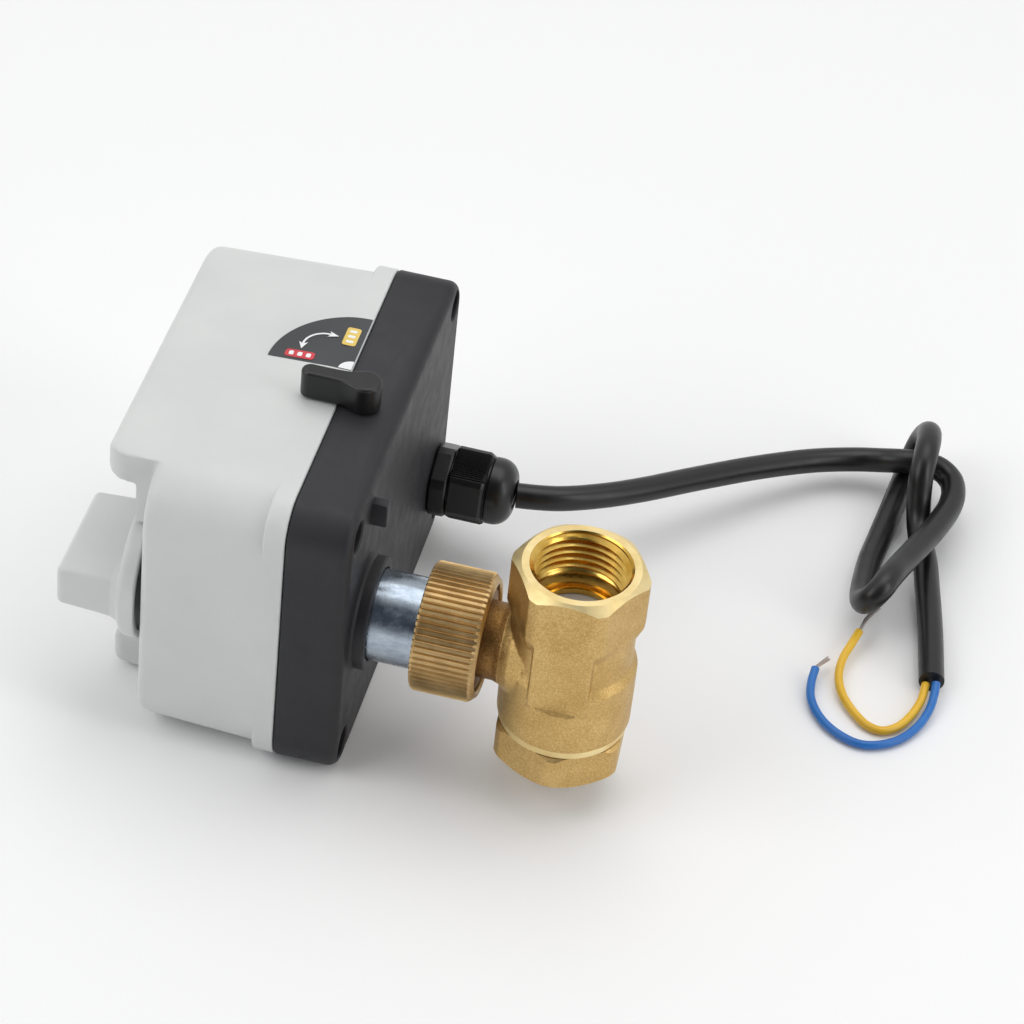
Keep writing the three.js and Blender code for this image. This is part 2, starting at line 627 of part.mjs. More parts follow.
const JACKET_ROUTE = [
  [19, 64.4, -15.5], [23, 65.2, -15.6], [28.4, 67.1, -16], [36.5, 72.6, -17.4], [44.4, 79.7, -19.2],
  [56.2, 92, -22.2], [68.4, 103.8, -25], [80, 113.1, -27.2], [88.9, 117.4, -27.8], [94.6, 118.1, -27],
  [99.7, 117.9, -25.7], [104.3, 118.4, -25.4], [108.6, 118, -25.8], [111.6, 115.4, -26.2],
  [112.8, 111.4, -26.2], [112.8, 106, -26], [111.1, 97.7, -25.2], [108.3, 87.8, -23.8], [105.2, 77.1, -21.8],
  [103.4, 70, -20.3], [102.2, 66.5, -20.8], [100.5, 64.8, -22.8], [99, 66.2, -25.4], [98.2, 70.6, -27.4],
  [97.9, 77, -29], [97.9, 86.1, -30.6], [98.7, 95.7, -31.5], [99.7, 105.8, -31.65],
  [100.5, 114.3, -31.6], [101.3, 121.2, -30.8], [102, 125.4, -28.4], [103, 126.4, -24.8],
  [104.2, 124.2, -21], [104.8, 118.6, -18.4], [104.9, 112.4, -18.2], [104.9, 108.6, -20.6],
  [105.4, 105.8, -24.8], [106.4, 102.6, -28.8], [108, 97.6, -31.2], [110.1, 91.1, -31.65],
  [112, 82, -31.65], [114.6, 68.9, -31.65], [117.4, 52.1, -31.65],
];
const YELLOW_ROUTE = [
  [116.3, 51.4, -32.2], [116.1, 46.6, -32.8], [114.6, 41.6, -33.4], [112.3, 37.4, -33.6],
  [109.2, 35.2, -33.6], [106, 35.8, -33.6], [102.6, 38.8, -33.6], [99.2, 43.4, -33.4],
  [97.4, 48.4, -33], [97.3, 53.8, -32.4], [98.4, 58.6, -31.8], [99.4, 62.8, -31.4],
];
const YELLOW_STRANDS = [[99.5, 63.1, -31.3], [100.4, 67, -30.8], [102.4, 70.8, -30.2]];
const BLUE_ROUTE = [
  [118.5, 51.4, -31.2], [118.6, 48.4, -32], [118.2, 43.8, -32.8], [116.4, 38.4, -33.4],
  [112.9, 33.2, -33.6], [108.4, 30.2, -33.6], [104.6, 29.6, -33.6], [99.2, 31.8, -33.6],
  [95.2, 35.6, -33.6], [92.6, 40.4, -33.4], [91.9, 44.8, -33], [92, 48.8, -32.4],
];
const BLUE_STRANDS = [[92.1, 49.1, -32.3], [93.1, 50.8, -32.2], [94.3, 52.6, -32]];

// ---------- stem, union nut and valve ----------

function sleeve() {
  return turnedX([[SLEEVE_BORE, -5.5], [12, -5.5], [12, -FLOOR - 0.5], [SLEEVE_RADIUS, -FLOOR - 0.5],
    [SLEEVE_RADIUS, 18.8], [9.1, 18.8], [9.1, 20.4], [SLEEVE_RADIUS, 20.4], [SLEEVE_RADIUS, SLEEVE_END],
    [SLEEVE_BORE, SLEEVE_END]]);
}

function unionNut() {
  const knurled = alongX(toothed(KNURLS, NUT_RADIUS - 0.65, NUT_RADIUS, 0.8, 0.42), NUT_START, NUT_END);
  return cut(knurled, rodX(SLEEVE_RADIUS + GAP, 10, 30, 0, 0, 24),
    rodX(11.5, 17.6, 30, 0, 0, 24));
}

function hexEnd(z0, z1, turn, chamferTop) {
  const slope = chamferTop ? [[HEX_CORNER, z1 - 1.6], [12.4, z1]] : [[HEX_CORNER, z1]];
  const foot = chamferTop ? [[HEX_CORNER, z0]] : [[12.4, z0], [HEX_CORNER, z0 + 1.6]];
  const blank = turnedZ([[0, z0], ...foot, ...slope, [0, z1]], 24);
  return alongZ(polygon(6, HEX_FLATS, turn), z0, z1).intersect(blank);
}

function valveBody() {
  const barrel = turnedZ([[0, -16], [13.6, -16], [13.6, -14.8], [BODY_RADIUS, -14.5],
    [BODY_RADIUS, 0.6], [12.9, 2.4], [12.9, 14], [0, 14]], 24);
  const panel = alongZ(rectangle(-6, 6.5, -13.1, -8, 0.6), -4, 14, 0.4, 2);
  const neck = turnedX([[0, -22.4], [11.1, -22.4], [11.1, -18.4], [10.2, -17.9], [NECK_RADIUS, -17.7],
    [NECK_RADIUS, -14], [10, -8], [0, -8]]);
  const faced = cut(barrel, box(-6, 6.5, -15, -13.1, -4, 3));
  const whole = joined(faced, hexEnd(12.5, PORT_FACE, 0, true), panel, neck);
  const port = turnedZ([[0, PORT_FACE - THREAD_DEPTH], [THREAD_RADIUS, PORT_FACE - THREAD_DEPTH],
    [THREAD_RADIUS, PORT_FACE - 1], [RIM_RADIUS + 0.15, PORT_FACE + 0.15], [0, PORT_FACE + 0.15]]);
  const chamber = turnedZ([[0, -17], [12, -17], [12, -10.8], [10.2, -10.8], [10.2, 5.4], [8.9, 5.4],
    [8.9, 10.5], [THROAT_RADIUS, 10.5], [THROAT_RADIUS, 13], [0, 13]]);
  return moved(cut(whole, port, chamber, rodX(4.3, -24, 0, 0, 0, 16)), PORT_AXIS, 0, 0);
}

function endAdaptor() {
  const plug = turnedZ([[0, ADAPTOR_TOP - 1], [11.7, ADAPTOR_TOP - 1], [11.7, -11.1], [9.9, -11.1],
    [9.9, -5.4], [0, -5.4]]);
  const whole = joined(hexEnd(-PORT_FACE, ADAPTOR_TOP, ADAPTOR_TURN, false), plug);
  const bore = turnedZ([[0, -PORT_FACE - 0.15], [RIM_RADIUS + 0.15, -PORT_FACE - 0.15],
    [THREAD_RADIUS, -PORT_FACE + 1], [THREAD_RADIUS, THREAD_DEPTH - PORT_FACE],
    [THROAT_RADIUS, THREAD_DEPTH - PORT_FACE], [THROAT_RADIUS, -10.5], [8.9, -10.5], [8.9, -5], [0, -5]]);
  return moved(cut(whole, bore), PORT_AXIS, 0, 0);
}

function ballSeat(side) {
  // A ring whose inner face follows the ball.
  const clear = BALL_RADIUS + 0.35;
  const profile = [[8.6, 10.2 * side], [5.4, 10.2 * side]];
  const [start, end] = [5.4, 8.6].map((radius) => Math.asin(radius / clear));
  for (let i = 0; i <= 3; i += 1) {
    const angle = start + (end - start) * i / 3;
    profile.push([clear * Math.sin(angle), clear * Math.cos(angle) * side]);
  }
  return moved(turnedZ(profile, 24), PORT_AXIS, 0, 0);
}

function ball() {
  const sphere = closed(new THREE.SphereGeometry(BALL_RADIUS, 24, 12).rotateX(Math.PI / 2));
  const slot = box(-BALL_RADIUS - 1, -6.2, -4.4, 4.4, -1.8, 1.8);
  return moved(cut(sphere, rodZ(BALL_BORE, -12, 12, 0, 0, 16), slot), PORT_AXIS, 0, 0);
}

function valveStem() {
  const turned = turnedX([[0, 18.2], [3.9, 18.2], [3.9, 24], [2.9, 24], [2.9, 25.6], [3.9, 25.6],
    [3.9, 27.6], [2.9, 27.6], [2.9, 29.2], [3.9, 29.2], [3.9, 34.4], [0, 34.4]], 24);
  const driver = box(14.9, 18.6, -3.4, 3.4, -1.4, 1.4);
  const tang = box(34, 37.6, -3.4, 3.4, -1.4, 1.4);
  return joined(turned, driver, tang);
}

// ---------- the assembly ----------

add('base', 'base', base());
add('cover', 'cover', cover());
add('gasket', 'rubber', gasketLoop(SEAM - 1, SEAM + 1, 1.2, 1));
SCREWS.forEach(([y, z], i) => add(`cover_screw_${i + 1}`, 'steel', coverScrew(y, z)));
add('label_plate', 'label', labelPlate());
add('gearbox_plate', 'steel', gearboxPlate());
add('axle_a', 'steel', axle(GEAR_A_Y));
add('axle_b', 'steel', axle(GEAR_B_Y));
add('motor', 'motor', motor());
STANDOFFS.forEach(([y, z], i) => add(`standoff_${i + 1}`, 'steel', standoff(y, z)));
add('circuit_board', 'board', circuitBoard());
add('terminal_block', 'terminal', terminalBlock());
add('capacitor', 'capacitor', capacitor());
SWITCH_BACKS.forEach((back, i) => add(`micro_switch_${i + 1}`, 'switch', microSwitch(back)));
SWITCH_BACKS.forEach((back, i) => add(`switch_plunger_${i + 1}`, 'plunger', switchPlunger(back)));
add('inner_lead', 'cable', innerLead());
add('gland_locknut', 'gland', glandLocknut());
add('gland_body', 'gland', glandBody());
add('gland_seal', 'rubber', glandSeal());
add('gland_nut', 'gland', glandNut());

add('knob', 'cover', knob());
add('knob_seal', 'rubber', ringX(SHAFT_RADIUS + GAP, 6.3, -40.9, -38.3));
add('output_shaft', 'steel', outputShaft());
add('output_gear', 'gear', outputGear());
SWITCH_BACKS.forEach((back, i) => {
  add(`cam_${i + 1}`, 'gear', cam(back + SWITCH_WIDTH / 2, i === 0 ? 0 : -90));
});
add('gear_b', 'gear', gearB());
add('gear_a', 'gear', gearA());
add('motor_pinion', 'steel', motorPinion());

add('selector_lever', 'lever', lever());
add('selector_shaft', 'steel', selectorShaft());
add('selector_seal', 'rubber', ringZ(2.6, 3.4, 31.9, 32.9, SELECTOR_X, SELECTOR_Y));
add('clutch_slide', 'gear', clutchSlide());

add('shaft_bush', 'ptfe', ringX(SHAFT_RADIUS + GAP, SLEEVE_BORE - GAP, -5, 10));
add('shaft_seal', 'rubber', ringX(SHAFT_RADIUS + GAP, SLEEVE_BORE - GAP, 10.6, 12.6));
add('stem_sleeve', 'steel', sleeve());
add('sleeve_ring', 'steel', ringX(9.35, 11.1, 19, 20.2, 24));
add('union_nut', 'nut', unionNut());

add('valve_body', 'brass', valveBody());
add('end_adaptor', 'brass', endAdaptor());
add('seat_top', 'ptfe', ballSeat(1));
add('seat_bottom', 'ptfe', ballSeat(-1));
add('ball', 'chrome', ball());
add('valve_stem', 'brass', valveStem());
add('stem_ring_1', 'rubber', ringX(3.15, 4.1, 24.3, 25.3, 24));
add('stem_ring_2', 'rubber', ringX(3.15, 4.1, 27.9, 28.9, 24));

add('cable_jacket', 'cable', tube(JACKET_ROUTE, CABLE_RADIUS, 8, 54));
add('wire_yellow', 'yellow', tube(YELLOW_ROUTE, WIRE_RADIUS, 6, 16));
add('wire_blue', 'blue', tube(BLUE_ROUTE, WIRE_RADIUS, 6, 16));
add('strands_yellow', 'copper', tube(YELLOW_STRANDS, STRAND_RADIUS, 6, 3));
add('strands_blue', 'copper', tube(BLUE_STRANDS, STRAND_RADIUS, 6, 3));

// The origin goes to the middle of the box and valve, on the surface that the box stands on.
drawn.position.set(
  -(KNOB_END + PORT_AXIS + HEX_CORNER) / 2, -(BOX_NEAR + BOX_FAR) / 2, BOX_HALF);

const assembly = new THREE.Group();
assembly.add(drawn);

export default assembly;
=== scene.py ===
"""Motorized ball valve: the fine surfaces, materials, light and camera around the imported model."""
import math
import random

import bmesh
import bpy
from mathutils import Matrix, Vector


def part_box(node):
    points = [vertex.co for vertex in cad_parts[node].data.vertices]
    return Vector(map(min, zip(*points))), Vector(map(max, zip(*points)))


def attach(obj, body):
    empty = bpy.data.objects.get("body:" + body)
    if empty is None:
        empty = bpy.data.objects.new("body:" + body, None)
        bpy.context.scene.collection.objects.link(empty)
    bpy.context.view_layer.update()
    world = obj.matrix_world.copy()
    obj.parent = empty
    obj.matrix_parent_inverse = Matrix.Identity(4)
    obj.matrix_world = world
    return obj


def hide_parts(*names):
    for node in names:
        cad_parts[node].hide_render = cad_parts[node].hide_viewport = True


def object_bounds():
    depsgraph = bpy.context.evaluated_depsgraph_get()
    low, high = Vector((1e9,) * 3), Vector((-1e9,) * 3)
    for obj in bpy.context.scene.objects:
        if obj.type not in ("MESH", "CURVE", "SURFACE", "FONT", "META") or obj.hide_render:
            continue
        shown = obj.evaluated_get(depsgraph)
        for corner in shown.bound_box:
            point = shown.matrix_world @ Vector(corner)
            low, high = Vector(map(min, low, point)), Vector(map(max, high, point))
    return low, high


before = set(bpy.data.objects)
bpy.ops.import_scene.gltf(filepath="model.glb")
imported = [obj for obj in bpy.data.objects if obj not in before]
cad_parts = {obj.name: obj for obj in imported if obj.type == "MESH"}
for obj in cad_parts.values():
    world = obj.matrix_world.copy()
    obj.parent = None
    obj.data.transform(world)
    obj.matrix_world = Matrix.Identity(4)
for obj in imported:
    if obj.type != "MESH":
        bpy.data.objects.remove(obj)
cad_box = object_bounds()

# ------------ driving dimensions, millimetres
# Pieces are drawn in the stem's frame: X from the base's outer face toward the valve, Y back
# across the box, Z up along the pipe, and ORIGIN is where that frame's zero lies in the model.

SHAFT_LOW = -57.0                       # low end of the output shaft in the stem's frame
shaft_low, shaft_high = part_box("output_shaft")
ORIGIN = Vector((shaft_low[0] * 1000 - SHAFT_LOW,
                 (shaft_low[1] + shaft_high[1]) * 500,
                 (shaft_low[2] + shaft_high[2]) * 500))

BOX_NEAR, BOX_FAR, BOX_HALF = -16.65, 76.15, 34.6
BOX_CORNER = 8.0
BASE_ROUND = 2.2                        # rounding of the base's outer edge
BASE_FLOOR = 2.5                        # thickness of the base's outer wall
SEAM, HALF_GAP = -13.55, 0.15           # parting plane of base and cover, and half its gap
COVER_RIM = -18.3
COVER_CORNER = 12.0
LOW_FACE, HIGH_FACE = -43.8, -55.0
HIGH_NEAR, LOWER_NEAR = -6.0, 3.2       # near wall of the raised block, above and below the knob
POCKET_RADIUS, POCKET_FLOOR = 26.5, -48.0
WELL_RADIUS, WELL_FLOOR = 17.0, -44.0
DRAFT_Y, DRAFT_Z = 0.0005, 0.00125
WALL, RIM = 2.6, 3.4
SEAL_SEAT = 4.9                         # hole for the shaft's seal in the cover
SCREWS = [(-10.3, 28.6), (-10.3, -28.6), (70.3, 28.6), (70.3, -28.6)]
SCREW_BORE, SCREW_HOLE = 3.5, 1.8       # radii of a screw's recess and of its clearance hole
SELECTOR = (-8.3, 23.1)                 # the lever's axis, X and Y
GLAND = (64.4, -15.5)                   # the gland's axis, Y and Z
LABEL = (SEAM - 0.4, 33.6)              # the corner of the quarter-disc label, X and Y
CABLE, WIRE, STRAND = 2.85, 0.95, 0.14  # radii of the jacket, a core and one bare filament
SLEEVE_RADIUS = 9.76
CLEARANCE = 0.3                         # working gap round shafts and sleeves
NUT = (13.1, 26.8, 13.77)               # low end, high end and radius over the ridges
PORT_AXIS, PORT_FACE = 44.2, 25.4       # X of the pipe axis, and half the length between the ports
HEX_FLATS, HEX_CORNER = 26.0, 14.4      # width across flats, and radius of the turned corners
BARREL_RADIUS, WAIST_RADIUS = 14.0, 12.85
BARREL_END, ADAPTOR_END = -16.12, -16.22
THROAT_RADIUS = 8.2
THREAD_PITCH, THREAD_MINOR, THREAD_MAJOR = 1.814, 9.32, 10.48
THREAD_RUN = 10.8                       # depth at which the thread has faded out


# ------------ camera

def camera():
    """A long lens from above the valve's side, rolled a little clockwise."""
    azimuth, elevation, roll = math.radians(-9.05), math.radians(40.55), math.radians(6.58)
    forward = Vector((math.sin(azimuth) * math.cos(elevation), math.cos(azimuth) * math.cos(elevation),
                      -math.sin(elevation)))
    level = forward.cross(Vector((0, 0, 1))).normalized()
    upright = level.cross(forward)
    right = level * math.cos(roll) + upright * math.sin(roll)
    up = upright * math.cos(roll) - level * math.sin(roll)
    data = bpy.data.cameras.new("camera")
    data.lens = 132.86
    data.sensor_width = 36.0
    data.clip_start = 0.01
    data.clip_end = 20.0
    obj = bpy.data.objects.new("camera", data)
    spot = (Vector((119.3, -569.0, 528.2)) + ORIGIN) / 1000
    rows = Matrix((right, up, -forward)).transposed()
    obj.matrix_world = Matrix.Translation(spot) @ rows.to_4x4()
    bpy.context.collection.objects.link(obj)
    bpy.context.scene.camera = obj


camera()


# ------------ cord routes

JACKET_ROUTE = [
    (19, 64.4, -15.5), (23, 65.2, -15.6), (28.4, 67.1, -16), (36.5, 72.6, -17.4), (44.4, 79.7, -19.2),
    (56.2, 92, -22.2), (68.4, 103.8, -25), (80, 113.1, -27.2), (88.9, 117.4, -27.8), (94.6, 118.1, -27),
    (99.7, 117.9, -25.7), (104.3, 118.4, -25.4), (108.6, 118, -25.8), (111.6, 115.4, -26.2),
    (112.8, 111.4, -26.2), (112.8, 106, -26), (111.1, 97.7, -25.2), (108.3, 87.8, -23.8),
    (105.2, 77.1, -21.8), (103.4, 70, -20.3), (102.2, 66.5, -20.8), (100.5, 64.8, -22.8),
    (99, 66.2, -25.4), (98.2, 70.6, -27.4), (97.9, 77, -29), (97.9, 86.1, -30.6), (98.7, 95.7, -31.5),
    (99.7, 105.8, -31.65), (100.5, 114.3, -31.6), (101.3, 121.2, -30.8), (102, 125.4, -28.4),
    (103, 126.4, -24.8), (104.2, 124.2, -21), (104.8, 118.6, -18.4), (104.9, 112.4, -18.2),
    (104.9, 108.6, -20.6), (105.4, 105.8, -24.8), (106.4, 102.6, -28.8), (108, 97.6, -31.2),
    (110.1, 91.1, -31.65), (112, 82, -31.65), (114.6, 68.9, -31.65), (117.4, 52.1, -31.65),
]
YELLOW_ROUTE = [
    (116.3, 51.4, -32.2), (116.1, 46.6, -32.8), (114.6, 41.6, -33.4), (112.3, 37.4, -33.6),
    (109.2, 35.2, -33.6), (106, 35.8, -33.6), (102.6, 38.8, -33.6), (99.2, 43.4, -33.4),
    (97.4, 48.4, -33), (97.3, 53.8, -32.4), (98.4, 58.6, -31.8), (99.4, 62.8, -31.4),
]
YELLOW_STRANDS = [(99.5, 63.1, -31.3), (100.4, 67, -30.8), (102.4, 70.8, -30.2)]
BLUE_ROUTE = [
    (118.5, 51.4, -31.2), (118.6, 48.4, -32), (118.2, 43.8, -32.8), (116.4, 38.4, -33.4),
    (112.9, 33.2, -33.6), (108.4, 30.2, -33.6), (104.6, 29.6, -33.6), (99.2, 31.8, -33.6),
    (95.2, 35.6, -33.6), (92.6, 40.4, -33.4), (91.9, 44.8, -33), (92, 48.8, -32.4),
]
BLUE_STRANDS = [(92.1, 49.1, -32.3), (93.1, 50.8, -32.2), (94.3, 52.6, -32)]


def spline(points, steps):
    """Centripetal Catmull-Rom curve through the points, as the model's tubes follow."""
    knots = [Vector(p) for p in points]
    knots = [2 * knots[0] - knots[1]] + knots + [2 * knots[-1] - knots[-2]]
    line = []
    for i in range(1, len(knots) - 2):
        p = knots[i - 1:i + 3]
        t = [0.0]
        for a, b in zip(p, p[1:]):
            t.append(t[-1] + math.sqrt((b - a).length))
        for k in range(steps):
            u = t[1] + (t[2] - t[1]) * k / steps

            def mix(a, b, ta, tb):
                return a * ((tb - u) / (tb - ta)) + b * ((u - ta) / (tb - ta))

            a1, a2, a3 = mix(p[0], p[1], t[0], t[1]), mix(p[1], p[2], t[1], t[2]), mix(p[2], p[3], t[2], t[3])
            line.append(mix(mix(a1, a2, t[0], t[2]), mix(a2, a3, t[1], t[3]), t[1], t[2]))
    return line + [knots[-2]]


def metres(point):
    return (Vector(point) + ORIGIN) / 1000


# ------------ mesh tools

def as_object(bm, name="tool"):
    mesh = bpy.data.meshes.new(name)
    bm.to_mesh(mesh)
    bm.free()
    obj = bpy.data.objects.new(name, mesh)
    bpy.context.collection.objects.link(obj)
    return obj


def piece(name, bm, body="housing", node=None):
    """Turns a bmesh drawn in millimetres in the stem's frame into a piece that rides on a body."""
    bmesh.ops.transform(bm, matrix=Matrix.Scale(0.001, 4) @ Matrix.Translation(ORIGIN), verts=bm.verts)
    bmesh.ops.recalc_face_normals(bm, faces=bm.faces)
    obj = as_object(bm, name)
    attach(obj, body)
    if node:
        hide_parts(*([node] if isinstance(node, str) else node))
    return obj


def rings(sections, loop=False):
    """A skin over rings of points; the ends are capped, or joined when the sections make a loop."""
    bm = bmesh.new()
    grid = [[bm.verts.new(p) for p in section] for section in sections]
    count = len(sections[0])
    pairs = list(zip(grid, grid[1:])) + ([(grid[-1], grid[0])] if loop else [])
    for low, high in pairs:
        for i in range(count):
            j = (i + 1) % count
            bm.faces.new((low[i], low[j], high[j], high[i]))
    if not loop:
        bm.faces.new(grid[0][::-1])
        bm.faces.new(grid[-1])
    bmesh.ops.remove_doubles(bm, verts=bm.verts, dist=1e-5)
    bmesh.ops.recalc_face_normals(bm, faces=bm.faces)
    return bm


def turned(profile, axis="x", centre=(0, 0), sides=96):
    """A body of revolution; the profile of (radius, height) closes on itself."""
    sections = []
    for i in range(sides):
        angle = 2 * math.pi * i / sides
        c, s = math.cos(angle), math.sin(angle)
        if axis == "x":
            sections.append([(h, centre[0] + r * c, centre[1] + r * s) for r, h in profile])
        else:
            sections.append([(centre[0] + r * c, centre[1] + r * s, h) for r, h in profile])
    bm = rings(sections, loop=True)
    bmesh.ops.dissolve_degenerate(bm, dist=1e-6, edges=bm.edges)
    return bm


def polar(count, x, reach, centre=(0, 0)):
    """A ring round an axis along X; reach gives its radius for a step and its angle."""
    ring = []
    for i in range(count):
        angle = 2 * math.pi * i / count
        r = reach(i, angle)
        ring.append((x, centre[0] + r * math.cos(angle), centre[1] + r * math.sin(angle)))
    return ring


def rounded(y0, y1, z0, z1, radius, steps=10):
    """Corner-rounded rectangle as (y, z) points."""
    points = []
    for cy, cz, start in ((y1 - radius, z0 + radius, -90), (y1 - radius, z1 - radius, 0),
                          (y0 + radius, z1 - radius, 90), (y0 + radius, z0 + radius, 180)):
        for i in range(steps + 1):
            angle = math.radians(start + 90 * i / steps)
            points.append((cy + radius * math.cos(angle), cz + radius * math.sin(angle)))
    return points


def fillet(radius, steps=6):
    """(inset, depth) pairs of a quarter-round edge, from the side wall to the end face."""
    return [(radius * (1 - math.cos(math.radians(90 * i / steps))),
             radius * math.sin(math.radians(90 * i / steps))) for i in range(steps + 1)]


def modify(obj, kind, **settings):
    modifier = obj.modifiers.new(kind.lower(), kind)
    for key, value in settings.items():
        setattr(modifier, key, value)
    return modifier


def applied(obj):
    """The object's mesh with its modifiers applied, as a bmesh; the object is removed."""
    graph = bpy.context.evaluated_depsgraph_get()
    mesh = bpy.data.meshes.new_from_object(obj.evaluated_get(graph))
    bm = bmesh.new()
    bm.from_mesh(mesh)
    bpy.data.meshes.remove(mesh)
    bpy.data.objects.remove(obj)
    return bm


def boolean(bm, cutter, operation="DIFFERENCE"):
    """Cuts or joins two closed bmeshes; both are used up."""
    base_obj, tool = as_object(bm), as_object(cutter)
    modify(base_obj, "BOOLEAN", operation=operation, object=tool, solver="EXACT")
    result = applied(base_obj)
    bpy.data.objects.remove(tool)
    return result


def cut(bm, *cutters):
    for cutter in cutters:
        bm = boolean(bm, cutter)
    return bm


def joined(bm, *others):
    for other in others:
        bm = boolean(bm, other, "UNION")
    return bm


def bevelled(bm, width, segments=2, angle=35):
    obj = as_object(bm)
    modify(obj, "BEVEL", width=width, segments=segments, limit_method="ANGLE",
           angle_limit=math.radians(angle), use_clamp_overlap=True)
    return applied(obj)


def softened(bm, voxel, rounds):
    """Remeshes a joined body finely and smooths it, which gives cast or moulded blends."""
    obj = as_object(bm)
    modify(obj, "REMESH", mode="VOXEL", voxel_size=voxel)
    modify(obj, "SMOOTH", factor=0.5, iterations=rounds)
    return applied(obj)


def box(x0, x1, y0, y1, z0, z1):
    bm = bmesh.new()
    bmesh.ops.create_cube(bm, size=1)
    bmesh.ops.scale(bm, vec=(x1 - x0, y1 - y0, z1 - z0), verts=bm.verts)
    bmesh.ops.translate(bm, vec=((x0 + x1) / 2, (y0 + y1) / 2, (z0 + z1) / 2), verts=bm.verts)
    return bm


def rod(radius, low, high, axis="x", centre=(0, 0), sides=64):
    return turned([(0, low), (radius, low), (radius, high), (0, high)], axis, centre, sides)


def shade(obj, angle=32):
    """Smooth shading, creased where faces meet sharply and weighted toward the large faces."""
    for face in obj.data.polygons:
        face.use_smooth = True
    obj.data.set_sharp_from_angle(angle=math.radians(angle))
    weigh = modify(obj, "WEIGHTED_NORMAL", keep_sharp=True)
    plain = obj.data
    evaluated = obj.evaluated_get(bpy.context.evaluated_depsgraph_get())
    obj.data = bpy.data.meshes.new_from_object(evaluated)
    obj.modifiers.remove(weigh)
    bpy.data.meshes.remove(plain)


def finish_piece(obj, *materials, angle=32):
    shade(obj, angle)
    obj.data.materials.clear()
    for item in materials:
        obj.data.materials.append(item)
    return obj


# ------------ materials

def new_material(name, color, roughness, metallic=0.0, **sockets):
    """A principled material; extra sockets are set by name with spaces as underscores."""
    material = bpy.data.materials.new(name)
    material.use_nodes = True
    shader = material.node_tree.nodes["Principled BSDF"]
    shader.inputs["Base Color"].default_value = (*linear(color), 1)
    shader.inputs["Roughness"].default_value = roughness
    shader.inputs["Metallic"].default_value = metallic
    for socket, value in sockets.items():
        shader.inputs[socket.replace("_", " ")].default_value = value
    return material


def linear(color):
    """sRGB 0..255 to linear."""
    return [((c / 255 + 0.055) / 1.055) ** 2.4 if c > 10 else c / 255 / 12.92 for c in color]


def node(material, kind, **values):
    made = material.node_tree.nodes.new(kind)
    for key, value in values.items():
        if hasattr(made, key):
            setattr(made, key, value)
        else:
            made.inputs[key.replace("_", " ")].default_value = value
    return made


def link(material, a, b):
    material.node_tree.links.new(a, b)


def feed(material, output, socket):
    """Links an output to the shader."""
    link(material, output, material.node_tree.nodes["Principled BSDF"].inputs[socket])


def position(material, scale=(1, 1, 1)):
    """Object-space position, stretched."""
    coordinates = node(material, "ShaderNodeTexCoord")
    mapping = node(material, "ShaderNodeMapping")
    mapping.inputs["Scale"].default_value = scale
    link(material, coordinates.outputs["Object"], mapping.inputs["Vector"])
    return mapping.outputs["Vector"]


def noise(material, vector, scale, detail=4.0, roughness=0.55):
    made = node(material, "ShaderNodeTexNoise", Scale=scale, Detail=detail, Roughness=roughness)
    link(material, vector, made.inputs["Vector"])
    return made.outputs["Fac"]


def ramp(material, value, stops):
    made = node(material, "ShaderNodeValToRGB")
    made.color_ramp.elements[0].position = stops[0][0]
    made.color_ramp.elements[0].color = (*linear(stops[0][1]), 1)
    made.color_ramp.elements[1].position = stops[-1][0]
    made.color_ramp.elements[1].color = (*linear(stops[-1][1]), 1)
    for place, color in stops[1:-1]:
        stop = made.color_ramp.elements.new(place)
        stop.color = (*linear(color), 1)
    link(material, value, made.inputs["Fac"])
    return made.outputs["Color"]


USUAL = (0.3, 0.7)                      # the range that most of a noise's values fall in
WORN = (0.52, 0.62)                     # pointiness at which rubbing starts and is full


def remap(material, value, source, target):
    """Maps a value from the source range to the target range."""
    made = node(material, "ShaderNodeMapRange")
    for name, number in zip(("From Min", "From Max", "To Min", "To Max"), (*source, *target)):
        made.inputs[name].default_value = number
    link(material, value, made.inputs["Value"])
    return made.outputs["Result"]


def roughen(material, value, middle, below=0.06, above=0.06):
    """Varies the roughness round its middle with a noise."""
    feed(material, remap(material, value, USUAL, (middle - below, middle + above)), "Roughness")


def bump(material, heights, distance, strength=1.0):
    """Chains height maps into the shader's normal."""
    normal = None
    for height, depth in zip(heights, distance):
        made = node(material, "ShaderNodeBump", Strength=strength, Distance=depth)
        link(material, height, made.inputs["Height"])
        if normal:
            link(material, normal, made.inputs["Normal"])
        normal = made.outputs["Normal"]
    feed(material, normal, "Normal")


def edge_wear(material, color_output, worn, strength=0.6):
    """Lightens convex edges, where handling rubs a surface."""
    geometry = node(material, "ShaderNodeNewGeometry")
    edge = remap(material, geometry.outputs["Pointiness"], WORN, (0.0, strength))
    mix = node(material, "ShaderNodeMix", data_type="RGBA")
    link(material, edge, mix.inputs["Factor"])
    link(material, color_output, mix.inputs[6])
    mix.inputs[7].default_value = (*linear(worn), 1)
    feed(material, mix.outputs[2], "Base Color")


def plastic(name, dark, light, roughness, grain=900.0, depth=0.00001, worn=None, **sockets):
    """Moulded plastic: faint blotches of tone, fine spark-eroded grain, rubbed edges."""
    material = new_material(name, light, roughness, **sockets)
    place = position(material)
    color = ramp(material, noise(material, place, 60.0), [(USUAL[0], dark), (USUAL[1], light)])
    roughen(material, noise(material, place, 240.0), roughness)
    bump(material, [noise(material, place, grain, 3.0), noise(material, place, 35.0, 2.0)],
         [depth, depth * 3])
    if worn:
        edge_wear(material, color, worn)
    else:
        feed(material, color, "Base Color")
    return material


